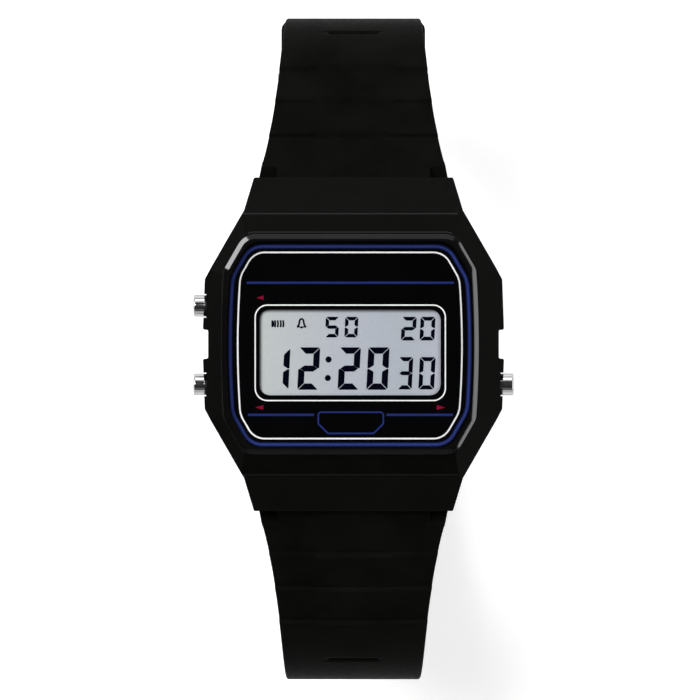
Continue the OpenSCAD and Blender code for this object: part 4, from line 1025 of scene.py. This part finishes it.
def plain_floor():
    """Pale floor that turns up into a low round wall: the profile (radius, height) carried round the upright axis.
    For the camera, for gloss and through glass it glows a little, so that it reads as white and keeps the shadow."""
    t = np.linspace(0, math.pi / 2, 10)
    profile = [(0.0, 0.0), (150.0, 0.0), (600.0, 0.0)]
    profile += [(2000.0 + 500 * math.sin(a), 500 - 500 * math.cos(a)) for a in t] + [(2500.0, 1500.0)]
    radius, height = np.array(profile).T
    turn = np.linspace(0, 2 * math.pi, 96, endpoint=False)
    points = np.stack([radius[:, None] * np.cos(turn), radius[:, None] * np.sin(turn),
                       np.repeat(height[:, None], 96, 1)], -1).reshape(-1, 3)
    points[:, 2] += cad_box[0][2] / MM - FLOOR_DROP
    floor = mesh_piece("floor", points, grid_faces(len(radius), 96, wrap_n=True))
    made, tree, shader = material("floor_white", Roughness=0.9, Specular_IOR_Level=0.1)
    shader.inputs["Base Color"].default_value = (0.8, 0.8, 0.8, 1)
    seen = add(tree, "LightPath").outputs
    two = add(tree, "Math", [(0, seen["Is Camera Ray"]), (1, seen["Is Glossy Ray"])], operation="MAXIMUM")
    three = add(tree, "Math", [(0, two.outputs[0]), (1, seen["Is Transmission Ray"])], operation="MAXIMUM")
    glow = add(tree, "Math", [(0, three.outputs[0])], operation="MULTIPLY", in_1=0.56)
    shader.inputs["Emission Color"].default_value = (1, 1, 1, 1)
    tree.links.new(glow.outputs[0], shader.inputs["Emission Strength"])
    floor.data.materials.append(made)


def studio():
    world = bpy.data.worlds.new("studio")
    bpy.context.scene.world = world
    world.use_nodes = True
    ground = world.node_tree.nodes["Background"]
    ground.inputs["Color"].default_value = (1, 1, 1, 1)
    ground.inputs["Strength"].default_value = 0.04


def lamp(name, azimuth, elevation, width, height, radiance, distance=1.1):
    """Oblong area lamp aimed at the watch. Its power is pi * area * radiance."""
    data = bpy.data.lights.new(name, "AREA")
    data.shape = "RECTANGLE"
    data.size, data.size_y = width, height
    data.energy = math.pi * width * height * radiance
    thing = bpy.data.objects.new(name, data)
    a, e = math.radians(azimuth), math.radians(elevation)
    where = Vector((math.cos(a) * math.cos(e), math.sin(a) * math.cos(e), math.sin(e))) * distance
    thing.location = where
    thing.rotation_euler = (-where).to_track_quat("-Z", "Y").to_euler()
    bpy.context.scene.collection.objects.link(thing)


def photo_camera():
    """Long lens 0.8 m above the case's edge, where the picture takes in 80.1 mm."""
    data = bpy.data.cameras.new("photo_camera")
    data.type = "PERSP"
    data.sensor_width = 36.0
    reach, taken_in = 0.8, 0.0801
    data.lens = data.sensor_width * reach / taken_in
    data.clip_start, data.clip_end = 0.01, 10.0
    thing = bpy.data.objects.new("photo_camera", data)
    thing.location = (-0.0004, -0.00066, 0.005 + reach)
    bpy.context.scene.collection.objects.link(thing)
    bpy.context.scene.camera = thing


plain_floor()
studio()
lamp("upper_softbox", 152, 70, 0.36, 0.34, 14.3)
lamp("left_softbox", 138, 46, 0.54, 0.25, 11.5)
lamp("right_softbox", -3, 45, 1.9, 0.24, 4.4)
lamp("back_softbox", 90, 47, 0.9, 0.3, 0.6)
lamp("back_strip", 90, 28, 0.2, 0.45, 2.8)
lamp("front_softbox", -90, 46, 0.8, 0.25, 0.15)
photo_camera()
bpy.context.scene.view_settings.view_transform = "Standard"

bpy.context.view_layer.update()
